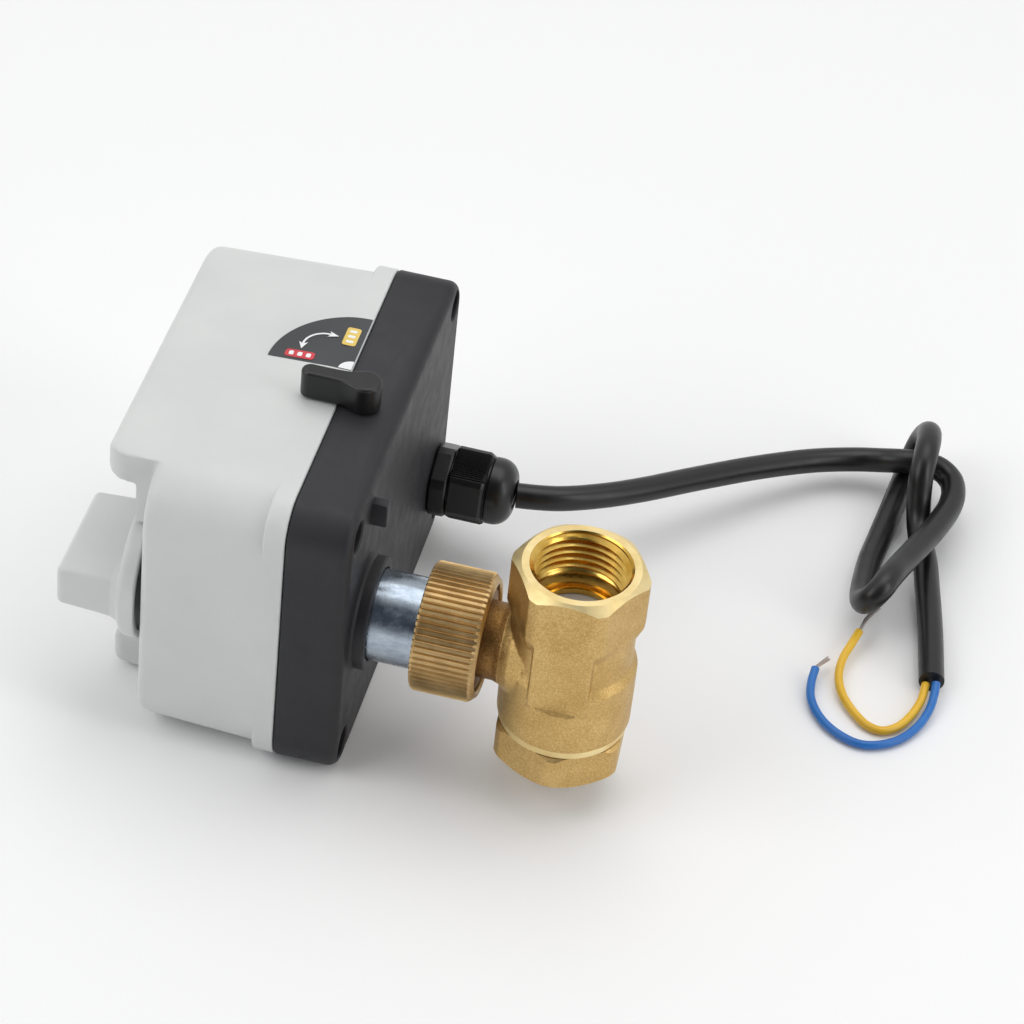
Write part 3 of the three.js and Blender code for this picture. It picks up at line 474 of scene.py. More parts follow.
def forged(name, dark, mid, light, roughness):
    """Shot-blasted forging: peened dimples, faint tarnish and brighter rubbed edges."""
    material = new_material(name, mid, roughness, 1.0)
    place = position(material)
    blend = node(material, "ShaderNodeMix", data_type="FLOAT")
    blend.inputs["Factor"].default_value = 0.7
    link(material, noise(material, place, 110.0, 5.0), blend.inputs[2])
    link(material, noise(material, place, 2400.0, 4.0, 0.75), blend.inputs[3])
    color = ramp(material, blend.outputs[0], [(0.36, dark), (0.5, mid), (0.64, light)])
    roughen(material, noise(material, place, 500.0, 3.0), roughness, 0.05, 0.08)
    bump(material, [noise(material, place, 2600.0, 3.0, 0.7), noise(material, place, 900.0, 2.0)],
         [0.00007, 0.00007])
    edge_wear(material, color, light, 0.7)
    return material


def machined(name, dark, light, roughness, axis="z"):
    """Turned metal: fine tool lines around the axis, and slight stains."""
    material = new_material(name, light, roughness, 1.0)
    stretch = {"z": (0.06, 0.06, 1), "x": (1, 0.06, 0.06)}[axis]
    place = position(material)
    color = ramp(material, noise(material, place, 180.0, 5.0), [(USUAL[0], dark), (USUAL[1], light)])
    feed(material, color, "Base Color")
    lined = noise(material, position(material, stretch), 5200.0, 2.0, 0.6)
    roughen(material, noise(material, place, 400.0), roughness, 0.05, 0.08)
    bump(material, [lined, noise(material, place, 90.0, 2.0)], [0.000006, 0.000024])
    return material


def plated(name, dark, light, roughness):
    """Zinc-plated steel: cloudy passivation, drawn lines along X and small scuffs."""
    material = new_material(name, light, roughness, 1.0)
    cloudy = noise(material, position(material, (0.5, 1, 1)), 420.0, 6.0, 0.7)
    color = ramp(material, cloudy, [(USUAL[0], dark), (USUAL[1], light)])
    feed(material, color, "Base Color")
    roughen(material, noise(material, position(material), 600.0, 5.0), roughness, 0.06, 0.12)
    bump(material, [noise(material, position(material, (1, 0.1, 0.1)), 3000.0, 2.0),
                    noise(material, position(material), 900.0, 4.0)], [0.000008, 0.000012])
    return material


M = {
    "cover": plastic("cover_plastic", (205, 207, 206), (211, 213, 211), 0.42, 900.0, 0.000008),
    "base": plastic("base_plastic", (31, 31, 34), (38, 38, 41), 0.52, 1700.0, 0.00003, (56, 56, 60),
                    Specular_IOR_Level=0.35),
    "lever": plastic("lever_plastic", (17, 17, 18), (23, 23, 24), 0.36, 1200.0, 0.000012, (48, 48, 48)),
    "gland": plastic("gland_nylon", (12, 12, 13), (19, 19, 20), 0.34, 900.0, 0.000008, (40, 40, 42)),
    "cable": plastic("cable_sheath", (13, 13, 14), (21, 21, 22), 0.36, 800.0, 0.00001),
    "yellow": plastic("yellow_insulation", (222, 172, 34), (242, 196, 58), 0.35, 900.0, 0.000006),
    "blue": plastic("blue_insulation", (24, 98, 176), (40, 120, 198), 0.35, 900.0, 0.000006),
    "label": plastic("label_film", (54, 56, 58), (62, 64, 66), 0.38, 2000.0, 0.000005),
    "white": plastic("white_print", (232, 234, 234), (244, 245, 245), 0.45, 2000.0, 0.000004),
    "red": plastic("red_print", (196, 48, 60), (208, 66, 76), 0.45, 2000.0, 0.000004),
    "ochre": plastic("yellow_print", (222, 188, 86), (232, 204, 112), 0.45, 2000.0, 0.000004),
    "brass": forged("forged_brass", (182, 148, 90), (202, 168, 106), (224, 194, 134), 0.42),
    "neck": forged("shaded_brass", (116, 82, 42), (142, 106, 60), (170, 132, 82), 0.5),
    "bright": machined("machined_brass", (222, 196, 134), (246, 226, 172), 0.42),
    "bore": machined("bore_brass", (206, 160, 66), (240, 204, 112), 0.2),
    "nut": machined("nut_brass", (176, 146, 100), (206, 176, 126), 0.38, "x"),
    "zinc": plated("zinc_plate", (140, 152, 166), (184, 194, 204), 0.2),
    "steel": plated("inner_steel", (120, 124, 128), (176, 180, 184), 0.3),
    "chrome": machined("chromed_ball", (196, 198, 202), (226, 228, 232), 0.08),
    "tinned": machined("tinned_copper", (176, 166, 160), (224, 218, 214), 0.36, "x"),
    "seal": plastic("nitrile", (22, 22, 23), (32, 32, 33), 0.6),
    "ptfe": plastic("ptfe", (226, 226, 220), (240, 240, 236), 0.4, 700.0, 0.000008),
    "acetal": plastic("acetal", (214, 210, 198), (228, 224, 212), 0.4, 900.0, 0.000008),
    "board": plastic("board_mask", (34, 92, 54), (48, 112, 68), 0.3, 700.0, 0.00001),
    "terminal": plastic("terminal_nylon", (54, 128, 82), (68, 146, 96), 0.35),
    "capacitor": plastic("capacitor_resin", (196, 158, 40), (216, 178, 56), 0.28, 500.0, 0.00001),
    "switch": plastic("switch_case", (32, 33, 36), (42, 43, 46), 0.45, 1200.0, 0.00001),
    "plunger": plastic("plunger_red", (150, 36, 34), (172, 48, 44), 0.35, 1000.0, 0.00001),
}

CARRIED = {
    "steel": ["gearbox_plate", "axle_a", "axle_b", "motor", "output_shaft", "output_gear", "gear_a",
              "gear_b", "motor_pinion", "selector_shaft", "sleeve_ring"]
             + [f"standoff_{i}" for i in range(1, 5)],
    "seal": ["gasket", "gland_seal", "knob_seal", "selector_seal", "shaft_seal", "stem_ring_1",
             "stem_ring_2"],
    "board": ["circuit_board"], "terminal": ["terminal_block"], "capacitor": ["capacitor"],
    "switch": ["micro_switch_1", "micro_switch_2"], "plunger": ["switch_plunger_1", "switch_plunger_2"],
    "cable": ["inner_lead"], "gland": ["gland_locknut"], "acetal": ["cam_1", "cam_2", "clutch_slide"],
    "ptfe": ["shaft_bush"], "bore": ["valve_stem"],
}


def carry_over():
    """Gives each CAD node that stays its own procedural material."""
    for key, names in CARRIED.items():
        for name in names:
            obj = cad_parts[name]
            obj.data.materials.clear()
            obj.data.materials.append(M[key])


carry_over()


# ------------ cords

def cord_curve(name, points, radius, material):
    """A round cord along the spline through the points, and its length in metres."""
    data = bpy.data.curves.new(name, "CURVE")
    data.dimensions = "3D"
    data.bevel_depth = radius / 1000
    data.bevel_resolution = 8
    data.use_fill_caps = True
    line = spline(points, 8)
    run = data.splines.new("POLY")
    run.points.add(len(line) - 1)
    for target, point in zip(run.points, line):
        target.co = (*metres(point), 1)
    run.use_smooth = True
    obj = bpy.data.objects.new(name, data)
    obj.data.materials.append(material)
    bpy.context.collection.objects.link(obj)
    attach(obj, "housing")
    length = sum((b - a).length for a, b in zip(line, line[1:])) / 1000
    return obj, length


def strands(name, points, node_name):
    """Seven twisted tinned filaments, splaying a little toward their cut ends."""
    line = spline(points, 6)
    random.seed(7)
    bm = bmesh.new()
    for k in range(7):
        reach = 0 if k == 0 else 2 * STRAND - 0.01
        sections = []
        last = len(line) - 1 if k == 0 else len(line) - 1 - random.randint(0, 1)
        for i, point in enumerate(line[:last + 1]):
            along = (line[min(i + 1, len(line) - 1)] - line[max(i - 1, 0)]).normalized()
            side = along.cross(Vector((0, 0, 1))).normalized()
            up = side.cross(along)
            turn = 2 * math.pi * k / 6 + 0.35 * i
            grow = 1 + 0.5 * i / last
            middle = point + (side * math.cos(turn) + up * math.sin(turn)) * reach * grow
            sections.append([middle + (side * math.cos(a) + up * math.sin(a)) * STRAND
                             for a in (2 * math.pi * q / 8 for q in range(8))])
        strand = rings(sections)
        mesh = bpy.data.meshes.new("strand")
        strand.to_mesh(mesh)
        strand.free()
        bm.from_mesh(mesh)
        bpy.data.meshes.remove(mesh)
    return finish_piece(piece(name, bm, node=node_name), M["tinned"])


def make_cords():
    """The black jacket and the two cores that leave its cut end."""
    jacket, jacket_length = cord_curve("lead_jacket", JACKET_ROUTE, CABLE, M["cable"])
    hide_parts("cable_jacket")
    tuple(metres(JACKET_ROUTE[0]))
    for color, route, ends in (("yellow", YELLOW_ROUTE, YELLOW_STRANDS), ("blue", BLUE_ROUTE, BLUE_STRANDS)):
        wire, wire_length = cord_curve(f"core_{color}", route, WIRE, M[color])
        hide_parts(f"wire_{color}")
        bare = strands(f"core_{color}_strands", ends, f"strands_{color}")
        tuple(metres(route[0]))


make_cords()


# ------------ base

def box_ring(x, inset=0.0):
    """The box's outline at a given X."""
    return [(x, y, z) for y, z in rounded(BOX_NEAR + inset, BOX_FAR - inset, -BOX_HALF + inset,
                                          BOX_HALF - inset, BOX_CORNER - inset)]


def make_base():
    """The open box, its screw posts, the collar and lug on its outer face, and the lever's boss."""
    rim = SEAM + HALF_GAP
    sections = [box_ring(rim, 0.25), box_ring(rim + 0.25)]
    sections += [box_ring(-BASE_ROUND + depth, inset) for inset, depth in fillet(BASE_ROUND)]
    shell = cut(rings(sections), rings([box_ring(rim - 5, RIM), box_ring(-BASE_FLOOR, RIM)]))
    for y, z in SCREWS:
        post = boolean(rod(5, rim + 0.2, -1.5, centre=(y, z)),
                       rings([box_ring(rim + 0.1, 0.4), box_ring(-1, 0.4)]), "INTERSECT")
        shell = joined(shell, post)
    collar = turned([(0, -1), (13.2, -1), (13.2, 0.001), (12.5, 0.25), (12.1, 0.8), (12.1, 2.6),
                     (11.95, 2.95), (11.6, 3.1), (0, 3.1)], sides=128)
    lug = bevelled(box(-1, 3.2, 0.5, 3.1, 23, 28.8), 0.45, 3)
    boss = turned([(0, 29.5), (4.4, 29.5), (4.4, 33), (0, 33)], "z", SELECTOR)
    shell = joined(shell, collar, lug, boss)
    recess = [(0, -6), (SCREW_BORE, -6), (SCREW_BORE, -0.35), (SCREW_BORE + 0.4, 0.05),
              (SCREW_BORE + 0.4, 3), (0, 3)]
    cutters = [turned(recess, centre=c, sides=48) for c in SCREWS]
    cutters += [rod(SCREW_HOLE, -20, 3, centre=c, sides=32) for c in SCREWS]
    cutters += [rod(SLEEVE_RADIUS + CLEARANCE, -20, 9, sides=128), rod(6.3, -20, 4, centre=GLAND, sides=64),
                rod(2.6, 20, 40, "z", SELECTOR, 48)]
    shell = cut(shell, *cutters)
    obj = piece("base_shell", shell, node="base")
    finish_piece(obj, M["base"], angle=28)


make_base()


# ------------ cover

def drafted(point):
    """Leans the cover's walls in toward its end faces."""
    x, y, z = point
    depth = max(0.0, COVER_RIM - x)
    middle = (BOX_NEAR + BOX_FAR) / 2
    return (x, middle + (y - middle) * (1 - DRAFT_Y * depth), z * (1 - DRAFT_Z * depth))


def cover_block(near, face, inset, edge):
    """A block of the cover from its rim to an end face, with a quarter-round edge."""
    corner = COVER_CORNER - inset

    def ring(x, more=0.0):
        shape = rounded(near + inset + more, BOX_FAR - inset - more, -BOX_HALF + inset + more,
                        BOX_HALF - inset - more, corner - more, 14)
        return [drafted((x, y, z)) for y, z in shape]

    sections = [ring(COVER_RIM + 4), ring(COVER_RIM), ring(face + inset + edge)]
    sections += [ring(face + inset + edge - depth, more) for more, depth in fillet(edge, 8)]
    return rings(sections)


def beside_raised(near, radius, z0, z1):
    """The space on the near side of the raised block's near wall, with the wall's rounded edge."""
    outline = [(HIGH_FACE + radius - radius * math.cos(angle), near + radius - radius * math.sin(angle))
               for angle in (math.pi / 2 * i / 8 for i in range(9))]
    outline += [(COVER_RIM + 6, near), (COVER_RIM + 6, BOX_NEAR - 2), (HIGH_FACE - 2, BOX_NEAR - 2),
                (HIGH_FACE - 2, near + radius)]
    return rings([[(x, y, z) for x, y in outline] for z in (z0, z1)])


def cover_outer():
    """The low block and the raised one, blended where they meet and round the knob's pocket."""
    raised = cut(cover_block(BOX_NEAR, HIGH_FACE, 0, 2.4),
                 beside_raised(HIGH_NEAR, 5.0, -BOX_HALF - 2, BOX_HALF + 2),
                 beside_raised(LOWER_NEAR, 2.2, -BOX_HALF - 2, 0))
    whole = joined(cover_block(BOX_NEAR, LOW_FACE, 0, 1.8), raised)
    whole = cut(whole,
                turned([(0, HIGH_FACE - 5), (POCKET_RADIUS + 1.2, HIGH_FACE - 5),
                        (POCKET_RADIUS + 1.2, HIGH_FACE), (POCKET_RADIUS + 0.35, HIGH_FACE + 0.35),
                        (POCKET_RADIUS, HIGH_FACE + 1.2), (POCKET_RADIUS, POCKET_FLOOR), (0, POCKET_FLOOR)],
                       sides=160),
                rod(WELL_RADIUS, HIGH_FACE - 5, WELL_FLOOR, sides=128))
    return softened(whole, 0.4, 5)


def make_cover():
    """The hollow cover with its rim and the boss of the shaft's seal."""
    skin = cut(cover_outer(),
               box(COVER_RIM + 1.5, 20, BOX_NEAR - 2, BOX_FAR + 2, -BOX_HALF - 2, BOX_HALF + 2))
    rim_low = SEAM - HALF_GAP
    flange = [box_ring(COVER_RIM + depth, inset) for inset, depth in
              [(0.8, 0.0), (0.35, 0.08), (0.08, 0.35), (0.0, 0.8)]]
    flange += [box_ring(rim_low - 0.25), box_ring(rim_low, 0.25)]
    skin = joined(skin, rings(flange))
    mouth = rings([box_ring(COVER_RIM - 1, RIM), box_ring(0, RIM)])
    low = cover_block(BOX_NEAR, LOW_FACE, WALL, 1.5)
    high = boolean(cover_block(BOX_NEAR, HIGH_FACE, WALL, 1.5),
                   box(HIGH_FACE, COVER_RIM, HIGH_NEAR + WALL, BOX_FAR, -BOX_HALF, BOX_HALF), "INTERSECT")
    high = cut(high, box(HIGH_FACE, COVER_RIM, HIGH_NEAR, LOWER_NEAR + WALL, -BOX_HALF, 0))
    cavity = cut(joined(low, high, mouth),
                 rod(POCKET_RADIUS + WALL, HIGH_FACE - 1, POCKET_FLOOR + WALL, sides=96),
                 rod(WELL_RADIUS + WALL, HIGH_FACE - 1, WELL_FLOOR + WALL, sides=96))
    skin = cut(skin, cavity)
    boss = turned([(SEAL_SEAT, WELL_FLOOR + 0.1), (8, WELL_FLOOR + 0.1), (8, -38), (6.6, -38),
                   (6.6, -41.2), (SEAL_SEAT, -41.2)], sides=64)
    skin = joined(cut(skin, rod(SEAL_SEAT, HIGH_FACE, SEAM, sides=64)), boss)
    obj = piece("cover_shell", skin, node="cover")
    finish_piece(obj, M["cover"], angle=40)


make_cover()


# ------------ label

FILM, PRINT = 0.12, 0.03                # thickness of the label's film and of its print
PRINT_LIFT, MARK_LIFT = 0.175, 0.21     # height of the print, and of the bars on the badges


def cover_top(x):
    """Height of the cover's leaning top face."""
    return drafted((x, 0, BOX_HALF))[2]


def film(name, outline, lift, thickness, material, node_name=None):
    """A flat printed shape in X and Y laid on the cover's leaning top face."""
    sections = [[(x, y, cover_top(x) + lift + rise) for x, y in outline] for rise in (0, thickness)]
    obj = piece(name, rings(sections), node=node_name)
    finish_piece(obj, material, angle=30)


def printed(name, outline, color, lift=PRINT_LIFT):
    film(name, outline, lift, PRINT, M[color])


def arc(cx, cy, radius, start, end, steps):
    """Points along a circular arc, angles in degrees."""
    angles = [math.radians(start + (end - start) * i / steps) for i in range(steps + 1)]
    return [(cx + radius * math.cos(angle), cy + radius * math.sin(angle)) for angle in angles]


def make_label():
    """A dark quarter disc with two coloured badges and a two-headed arrow between them."""
    cx, cy = LABEL
    film("label_film", [(cx, cy)] + arc(cx, cy, 18, 90, 180, 40), 0.05, FILM, M["label"], "label_plate")
    printed("label_hub", [(cx, cy)] + arc(cx, cy, 2.8, 90, 180, 16), "white")
    printed("label_badge_manual", rounded(-28.7, -22.4, 34.3, 36.8, 0.7, 5), "red")
    printed("label_badge_auto", rounded(-18.2, -15.2, 41.4, 47.5, 0.6, 5), "ochre")
    for i, x in enumerate((-27.4, -25.55, -23.7)):
        bar = rounded(x - 0.5, x + 0.5, 34.9, 36.2, 0.3, 4)
        printed(f"label_mark_manual_{i}", bar, "white", MARK_LIFT)
    for i, y in enumerate((42.7, 44.45, 46.2)):
        bar = rounded(-17.5, -15.9, y - 0.4, y + 0.4, 0.3, 4)
        printed(f"label_mark_auto_{i}", bar, "white", MARK_LIFT)
    ax, ay, radius, width = -21.5, 39.5, 4.42, 0.24
    band = arc(ax, ay, radius + width, 84, 182, 30) + arc(ax, ay, radius - width, 182, 84, 30)
    printed("label_arrow", band, "white")
    for i, (angle, sense) in enumerate(((84, -1), (182, 1))):
        way = math.radians(angle)
        side = Vector((math.cos(way), math.sin(way)))
        spot = Vector((ax, ay)) + side * radius
        ahead = Vector((-side.y, side.x)) * sense
        head = [spot + side * 0.95 - ahead * 0.5, spot + ahead * 1.8, spot - side * 0.95 - ahead * 0.5,
                spot + ahead * 0.1]
        film(f"label_arrow_head_{i}", [tuple(p) for p in head], PRINT_LIFT, PRINT + 0.005, M["white"])


make_label()


# ------------ knob

def make_knob():
    """A grip bar that thickens and flares into a round skirt."""
    def grip_ring(x, length, width, radius):
        return [(x, y, z) for y, z in rounded(-length, length, -width, width, radius, 8)]

    sections = []
    for inset, depth in reversed(fillet(1.5, 6)):
        sections.append(grip_ring(-61.0 - depth, 13.5 - inset, 5.0 - inset, 1.6 - min(inset, 1.0)))
    sections += [grip_ring(-53.0, 13.6, 5.4, 1.6), grip_ring(-50.6, 13.8, 5.6, 1.7),
                 grip_ring(-49.0, 14.5, 6.1, 2.2), grip_ring(-47.4, 15.3, 6.8, 3.0),
                 grip_ring(-46.2, 15.6, 7.0, 3.2)]
    grip = rings(sections)
    skirt = turned([(0, -49.0), (14.7, -49.0), (15.5, -48.75), (15.95, -48.2), (16.05, -47.4),
                    (16.05, -45.1), (0, -45.1)], sides=128)
    whole = softened(joined(grip, skirt), 0.3, 5)
    whole = cut(whole, rod(3.3, -57.4, -40, sides=48),
                turned([(4.6, -44), (4.6, -46.4), (14.3, -46.4), (14.6, -44)], sides=96))
    obj = piece("knob_grip", whole, "drive", "knob")
    finish_piece(obj, M["cover"], angle=40)


make_knob()


# ------------ selector lever

def make_lever():
    """A finger lever: a round hub, a waisted arm and a small round tip, with softened edges."""
    hub, tip, reach = 3.5, 1.95, 11.7
    outline = arc(0, 0, hub, -122, 122, 30)
    outline += [(-3.4, 2.3), (-5.0, 2.05), (-7.5, 1.95)]
    outline += arc(-reach, 0, tip, 90, 270, 18)
    outline += [(-7.5, -1.95), (-5.0, -2.05), (-3.4, -2.3)]
    prism = rings([[(SELECTOR[0] + x, SELECTOR[1] + y, z) for x, y in outline] for z in (34.9, 41.6)])
    body = cut(bevelled(prism, 0.75, 5, 60), rod(1.9, 34, 39, "z", SELECTOR, 32))
    obj = piece("selector_finger", body, "selector", "selector_lever")
    finish_piece(obj, M["lever"], angle=30)


make_lever()


# ------------ screws

def make_screws():
    """Cross-recessed pan-head screws at the bottom of their bores."""
    for i, (y, z) in enumerate(SCREWS):
        head = turned([(0, -5.7), (2.85, -5.7), (2.85, -4.6), (2.5, -3.9), (1.8, -3.45), (0, -3.3)],
                      centre=(y, z), sides=40)
        for a, b in ((1.7, 0.42), (0.42, 1.7)):
            head = cut(head, box(-4.6, -3, y - a, y + a, z - b, z + b))
        shank = rod(1.5, -29, -5.5, centre=(y, z), sides=20)
        obj = piece(f"screw_{i + 1}", joined(head, shank), node=f"cover_screw_{i + 1}")
        finish_piece(obj, M["steel"], angle=30)


make_screws()


# ------------ cable gland

def hex_radius(angle, apothem, turn=0.0):
    """Distance to a hexagon's side in a direction."""
    step = math.pi / 3
    local = (angle - turn + step / 2) % step - step / 2
    return apothem / math.cos(local)


def make_gland():
    """The gland's hexagonal body, and its dome nut with ribs on every other facet."""
    sides, ribs, rib_depth = 840, 105, 0.13
    flange = rings([polar(sides, x, lambda i, angle: min(hex_radius(angle, apothem), cap), GLAND)
                    for x, apothem, cap in ((0.3, 7.5, 8.1), (0.7, 7.75, 8.4), (3.8, 7.75, 8.4),
                                            (4.2, 7.5, 8.1))])
    whole = joined(flange, rod(6, -5.6, 1, centre=GLAND), rod(6.3, 4, 11.4, centre=GLAND))
    whole = cut(whole, rod(3.3, -6, 5, centre=GLAND), rod(4.9, 4.6, 12, centre=GLAND))
    finish_piece(piece("gland_hex", whole, node="gland_body"), M["gland"], angle=25)

    turn = math.radians(46.5)

    def ribbed_radius(angle):
        radius = min(hex_radius(angle, 8.0, turn), 8.75)
        facet = round((angle - turn) / (math.pi / 3))
        local = angle - turn - facet * math.pi / 3
        if facet % 2 and abs(local) < math.radians(27):
            radius += rib_depth * math.cos(angle * ribs) - rib_depth
        return radius

    ribbed = rings([polar(sides, x, lambda i, angle: ribbed_radius(angle) - drop, GLAND)
                    for x, drop in ((4.6, 0.5), (4.9, 0.0), (11.9, 0.0), (12.5, 0.35), (12.75, 0.9))])
    bend, dome_radius, dome_end = 4.2, 7.55, 18.7
    dome = [(0, 12), (7.3, 12), (7.3, 12.9), (dome_radius, 13.3)]
    dome += arc(dome_radius - bend, dome_end - bend, bend, 0, 90, 9)
    dome += [(0, dome_end)]
    whole = joined(ribbed, turned(dome, centre=GLAND, sides=96))
    whole = cut(whole, rod(6.6, 4, 11.8, centre=GLAND),
                turned([(0, 11), (3.3, 11), (3.3, 18.2), (3.7, 19), (0, 19)], centre=GLAND))
    finish_piece(piece("gland_cap", whole, node="gland_nut"), M["gland"], angle=28)


make_gland()


# ------------ stem sleeve and union nut

def make_sleeve():
    """The plated sleeve with its flange inside the base and the groove of its retaining ring."""
    bore, groove, flange = 7.6, 9.1, 12
    body = turned([(bore, -5.5), (flange, -5.5), (flange, -3), (SLEEVE_RADIUS, -3), (SLEEVE_RADIUS, 18.8),
                   (groove, 18.8), (groove, 20.4), (SLEEVE_RADIUS, 20.4), (SLEEVE_RADIUS, 21.3),
                   (9.5, 21.5), (bore, 21.5)], sides=128)
    finish_piece(piece("sleeve_tube", body, node="stem_sleeve"), M["zinc"], angle=30)


def make_nut():
    """A straight-knurled union nut with a plain turned chamfer at its valve end."""
    low, high, radius = NUT
    ridges, per, depth = 60, 12, 0.62
    grown = [(low, -0.7, 0), (low + 0.25, -0.25, 0.6), (low + 0.7, 0, 1), (high - 1.5, 0, 1),
             (high - 1.1, -0.25, 0.55), (high - 0.55, -0.75, 0), (high, -1.3, 0)]

    def knurled(i, grow, knurl):
        wave = abs(2 * (i % per) / per - 1)
        return radius + grow - depth * knurl * min(1.0, max(0.0, (wave - 0.1) / 0.3))

    sections = [polar(ridges * per, x, lambda i, angle: knurled(i, grow, knurl)) for x, grow, knurl in grown]
    body = cut(rings(sections), rod(SLEEVE_RADIUS + CLEARANCE, 10, 30, sides=128),
               turned([(0, 17.6), (11.5, 17.6), (11.5, 26.4), (11.9, 27), (0, 27)], sides=128))
    finish_piece(piece("nut_knurled", body, "union", "union_nut"), M["nut"], angle=25)


make_sleeve()
make_nut()


# ------------ valve

def hex_bar(z0, z1, turn, foot=None):
    """A hexagonal bar with turned corners; with a foot it grows out of a round waist below."""
    heights = [(z0, 1.0), (z1, 1.0)]
    if foot:
        heights = [(foot[0], 0.0), (foot[0] + 0.6, 0.0), (z0 - 0.5, 0.8), (z0 + 0.4, 1.0), (z1, 1.0)]
    sections = []
    for z, share in heights:
        ring = []
        for i in range(240):
            angle = 2 * math.pi * i / 240
            radius = min(hex_radius(angle, HEX_FLATS / 2, turn + math.pi / 6), HEX_CORNER)
            if foot:
                radius = foot[1] + (radius - foot[1]) * share
            ring.append((PORT_AXIS + radius * math.cos(angle), radius * math.sin(angle), z))
        sections.append(ring)
    return rings(sections)


def thread_cutter(mouth, inward):
    """Helical space of a right-hand thread; inward is the sign of Z going into the port."""
    sides, fine, turns = 72, 8, 7
    rows = turns * fine
    bm = bmesh.new()
    grid = []
    for k in range(rows + 1):
        phase = (k % fine) / fine
        groove = min(1.0, 1.25 * (1 - abs(2 * phase - 1)))
        row = []
        for i in range(sides):
            height = THREAD_PITCH * (k / fine + i / sides - 1)
            fade = min(1.0, max(0.0, (THREAD_RUN - height) / THREAD_PITCH))
            radius = THREAD_MINOR - 0.02 + (THREAD_MAJOR - THREAD_MINOR) * groove * fade
            angle = inward * 2 * math.pi * i / sides
            row.append(bm.verts.new((PORT_AXIS + radius * math.cos(angle), radius * math.sin(angle),
                                     mouth + inward * height)))
        grid.append(row)
    for k in range(rows):
        for i in range(sides - 1):
            bm.faces.new((grid[k][i], grid[k][i + 1], grid[k + 1][i + 1], grid[k + 1][i]))
    for k in range(rows - fine):
        bm.faces.new((grid[k][-1], grid[k + fine][0], grid[k + fine + 1][0], grid[k + 1][-1]))
    outer_loop = grid[0] + [grid[k][0] for k in range(fine, 0, -1)]
    inner_loop = grid[rows] + [grid[k][-1] for k in range(rows - 1, rows - fine - 1, -1)]
    for loop, height in ((outer_loop, -2.5), (inner_loop, THREAD_PITCH * turns + 0.3)):
        middle = bm.verts.new((PORT_AXIS, 0, mouth + inward * height))
        for a, b in zip(loop, loop[1:] + loop[:1]):
            bm.faces.new((a, b, middle))
    bmesh.ops.recalc_face_normals(bm, faces=bm.faces)
    return bm


def port_cutters(mouth, inward):
    """Thread, countersunk mouth, plain bore and the throat that leads to the seat."""
    shape = [(0, -0.6), (11.3, -0.6), (10.75, 0), (9.7, 1.0), (THREAD_MINOR, 1.4), (THREAD_MINOR, 13.2),
             (9.0, 13.6), (8.9, 13.8), (THROAT_RADIUS, 13.8), (THROAT_RADIUS, 15.2), (0, 15.2)]
    return [turned([(r, mouth + inward * h) for r, h in shape], "z", (PORT_AXIS, 0), 96),
            thread_cutter(mouth, inward)]


def paint_faces(obj, rule):
    """Gives each face the material index that the rule returns for its centre and normal."""
    for face in obj.data.polygons:
        centre = face.center * 1000 - ORIGIN
        face.material_index = rule(centre, face.normal)


def make_valve_body():
    """The forged body: barrel, hexagon on a round waist, side panels and the neck to the stem."""
    barrel = turned([(0, -17), (13.6, -17), (13.6, -14.8), (BARREL_RADIUS, -14.3), (14.05, -6),
                     (BARREL_RADIUS, 0.3), (12.9, 2.3), (WAIST_RADIUS, 12), (0, 12)],
                    "z", (PORT_AXIS, 0), 128)
    hexagon = hex_bar(12.7, PORT_FACE + 1, 0, (8.6, 12.7))
    neck = turned([(0, 24.6), (8.2, 24.6), (8.2, 29.4), (8.7, 30.8), (10.0, 32.8), (11, 36), (0, 36)],
                  sides=96)
    whole = joined(barrel, hexagon, neck)
    for side in (-1, 1):
        near, far = sorted((side * 13.1, side * 5))
        outer, inner = sorted((side * 13.1, side * 17))
        whole = joined(whole, bevelled(box(PORT_AXIS - 6, PORT_AXIS + 6.5, near, far, -4, 13), 0.4, 2))
        whole = cut(whole, box(PORT_AXIS - 6, PORT_AXIS + 6.5, outer, inner, -4, 12))
    whole = softened(whole, 0.26, 2)
    envelope = turned([(0, BARREL_END), (13.5, BARREL_END), (13.6, -16.0), (13.6, -14.5), (15.6, -12),
                       (16, 18), (15.0, 22.6), (14.5, 23.8), (12.3, PORT_FACE), (0, PORT_FACE)],
                      "z", (PORT_AXIS, 0), 160)
    stub = rod(12, 18, 40, sides=96)
    whole = boolean(whole, joined(envelope, stub), "INTERSECT")
    collar = turned([(0, 21.8), (11.1, 21.8), (11.1, 25.6), (10.4, 26.3), (0, 26.3)], sides=96)
    whole = joined(whole, collar)
    chamber = turned([(0, -17.5), (12, -17.5), (12, -10.8), (10.2, -10.8), (10.2, 5.4), (8.9, 5.4),
                      (8.9, 10.5), (0, 10.5)], "z", (PORT_AXIS, 0), 128)
    whole = cut(whole, *port_cutters(PORT_FACE, -1), chamber, rod(4.3, 20, PORT_AXIS, sides=48))
    obj = piece("valve_casting", whole, node="valve_body")
    finish_piece(obj, M["brass"], M["bright"], M["bore"], M["neck"], angle=26)

    def rule(centre, normal):
        """0 forged skin, 1 turned faces, 2 inside the ports, 3 the shaded neck."""
        radius = math.hypot(centre.x - PORT_AXIS, centre.y)
        if radius < 10.98 and (centre.z > 12 or radius < 10.5):
            return 2
        if centre.x < 30.6 and math.hypot(centre.y, centre.z) < 11.6:
            return 3
        if centre.z > PORT_FACE - 0.02 or (normal.z > 0.55 and centre.z > 21.5 and radius > 11):
            return 1
        if centre.z < -14.4 and radius > 12.5:
            return 1
        return 0

    paint_faces(obj, rule)


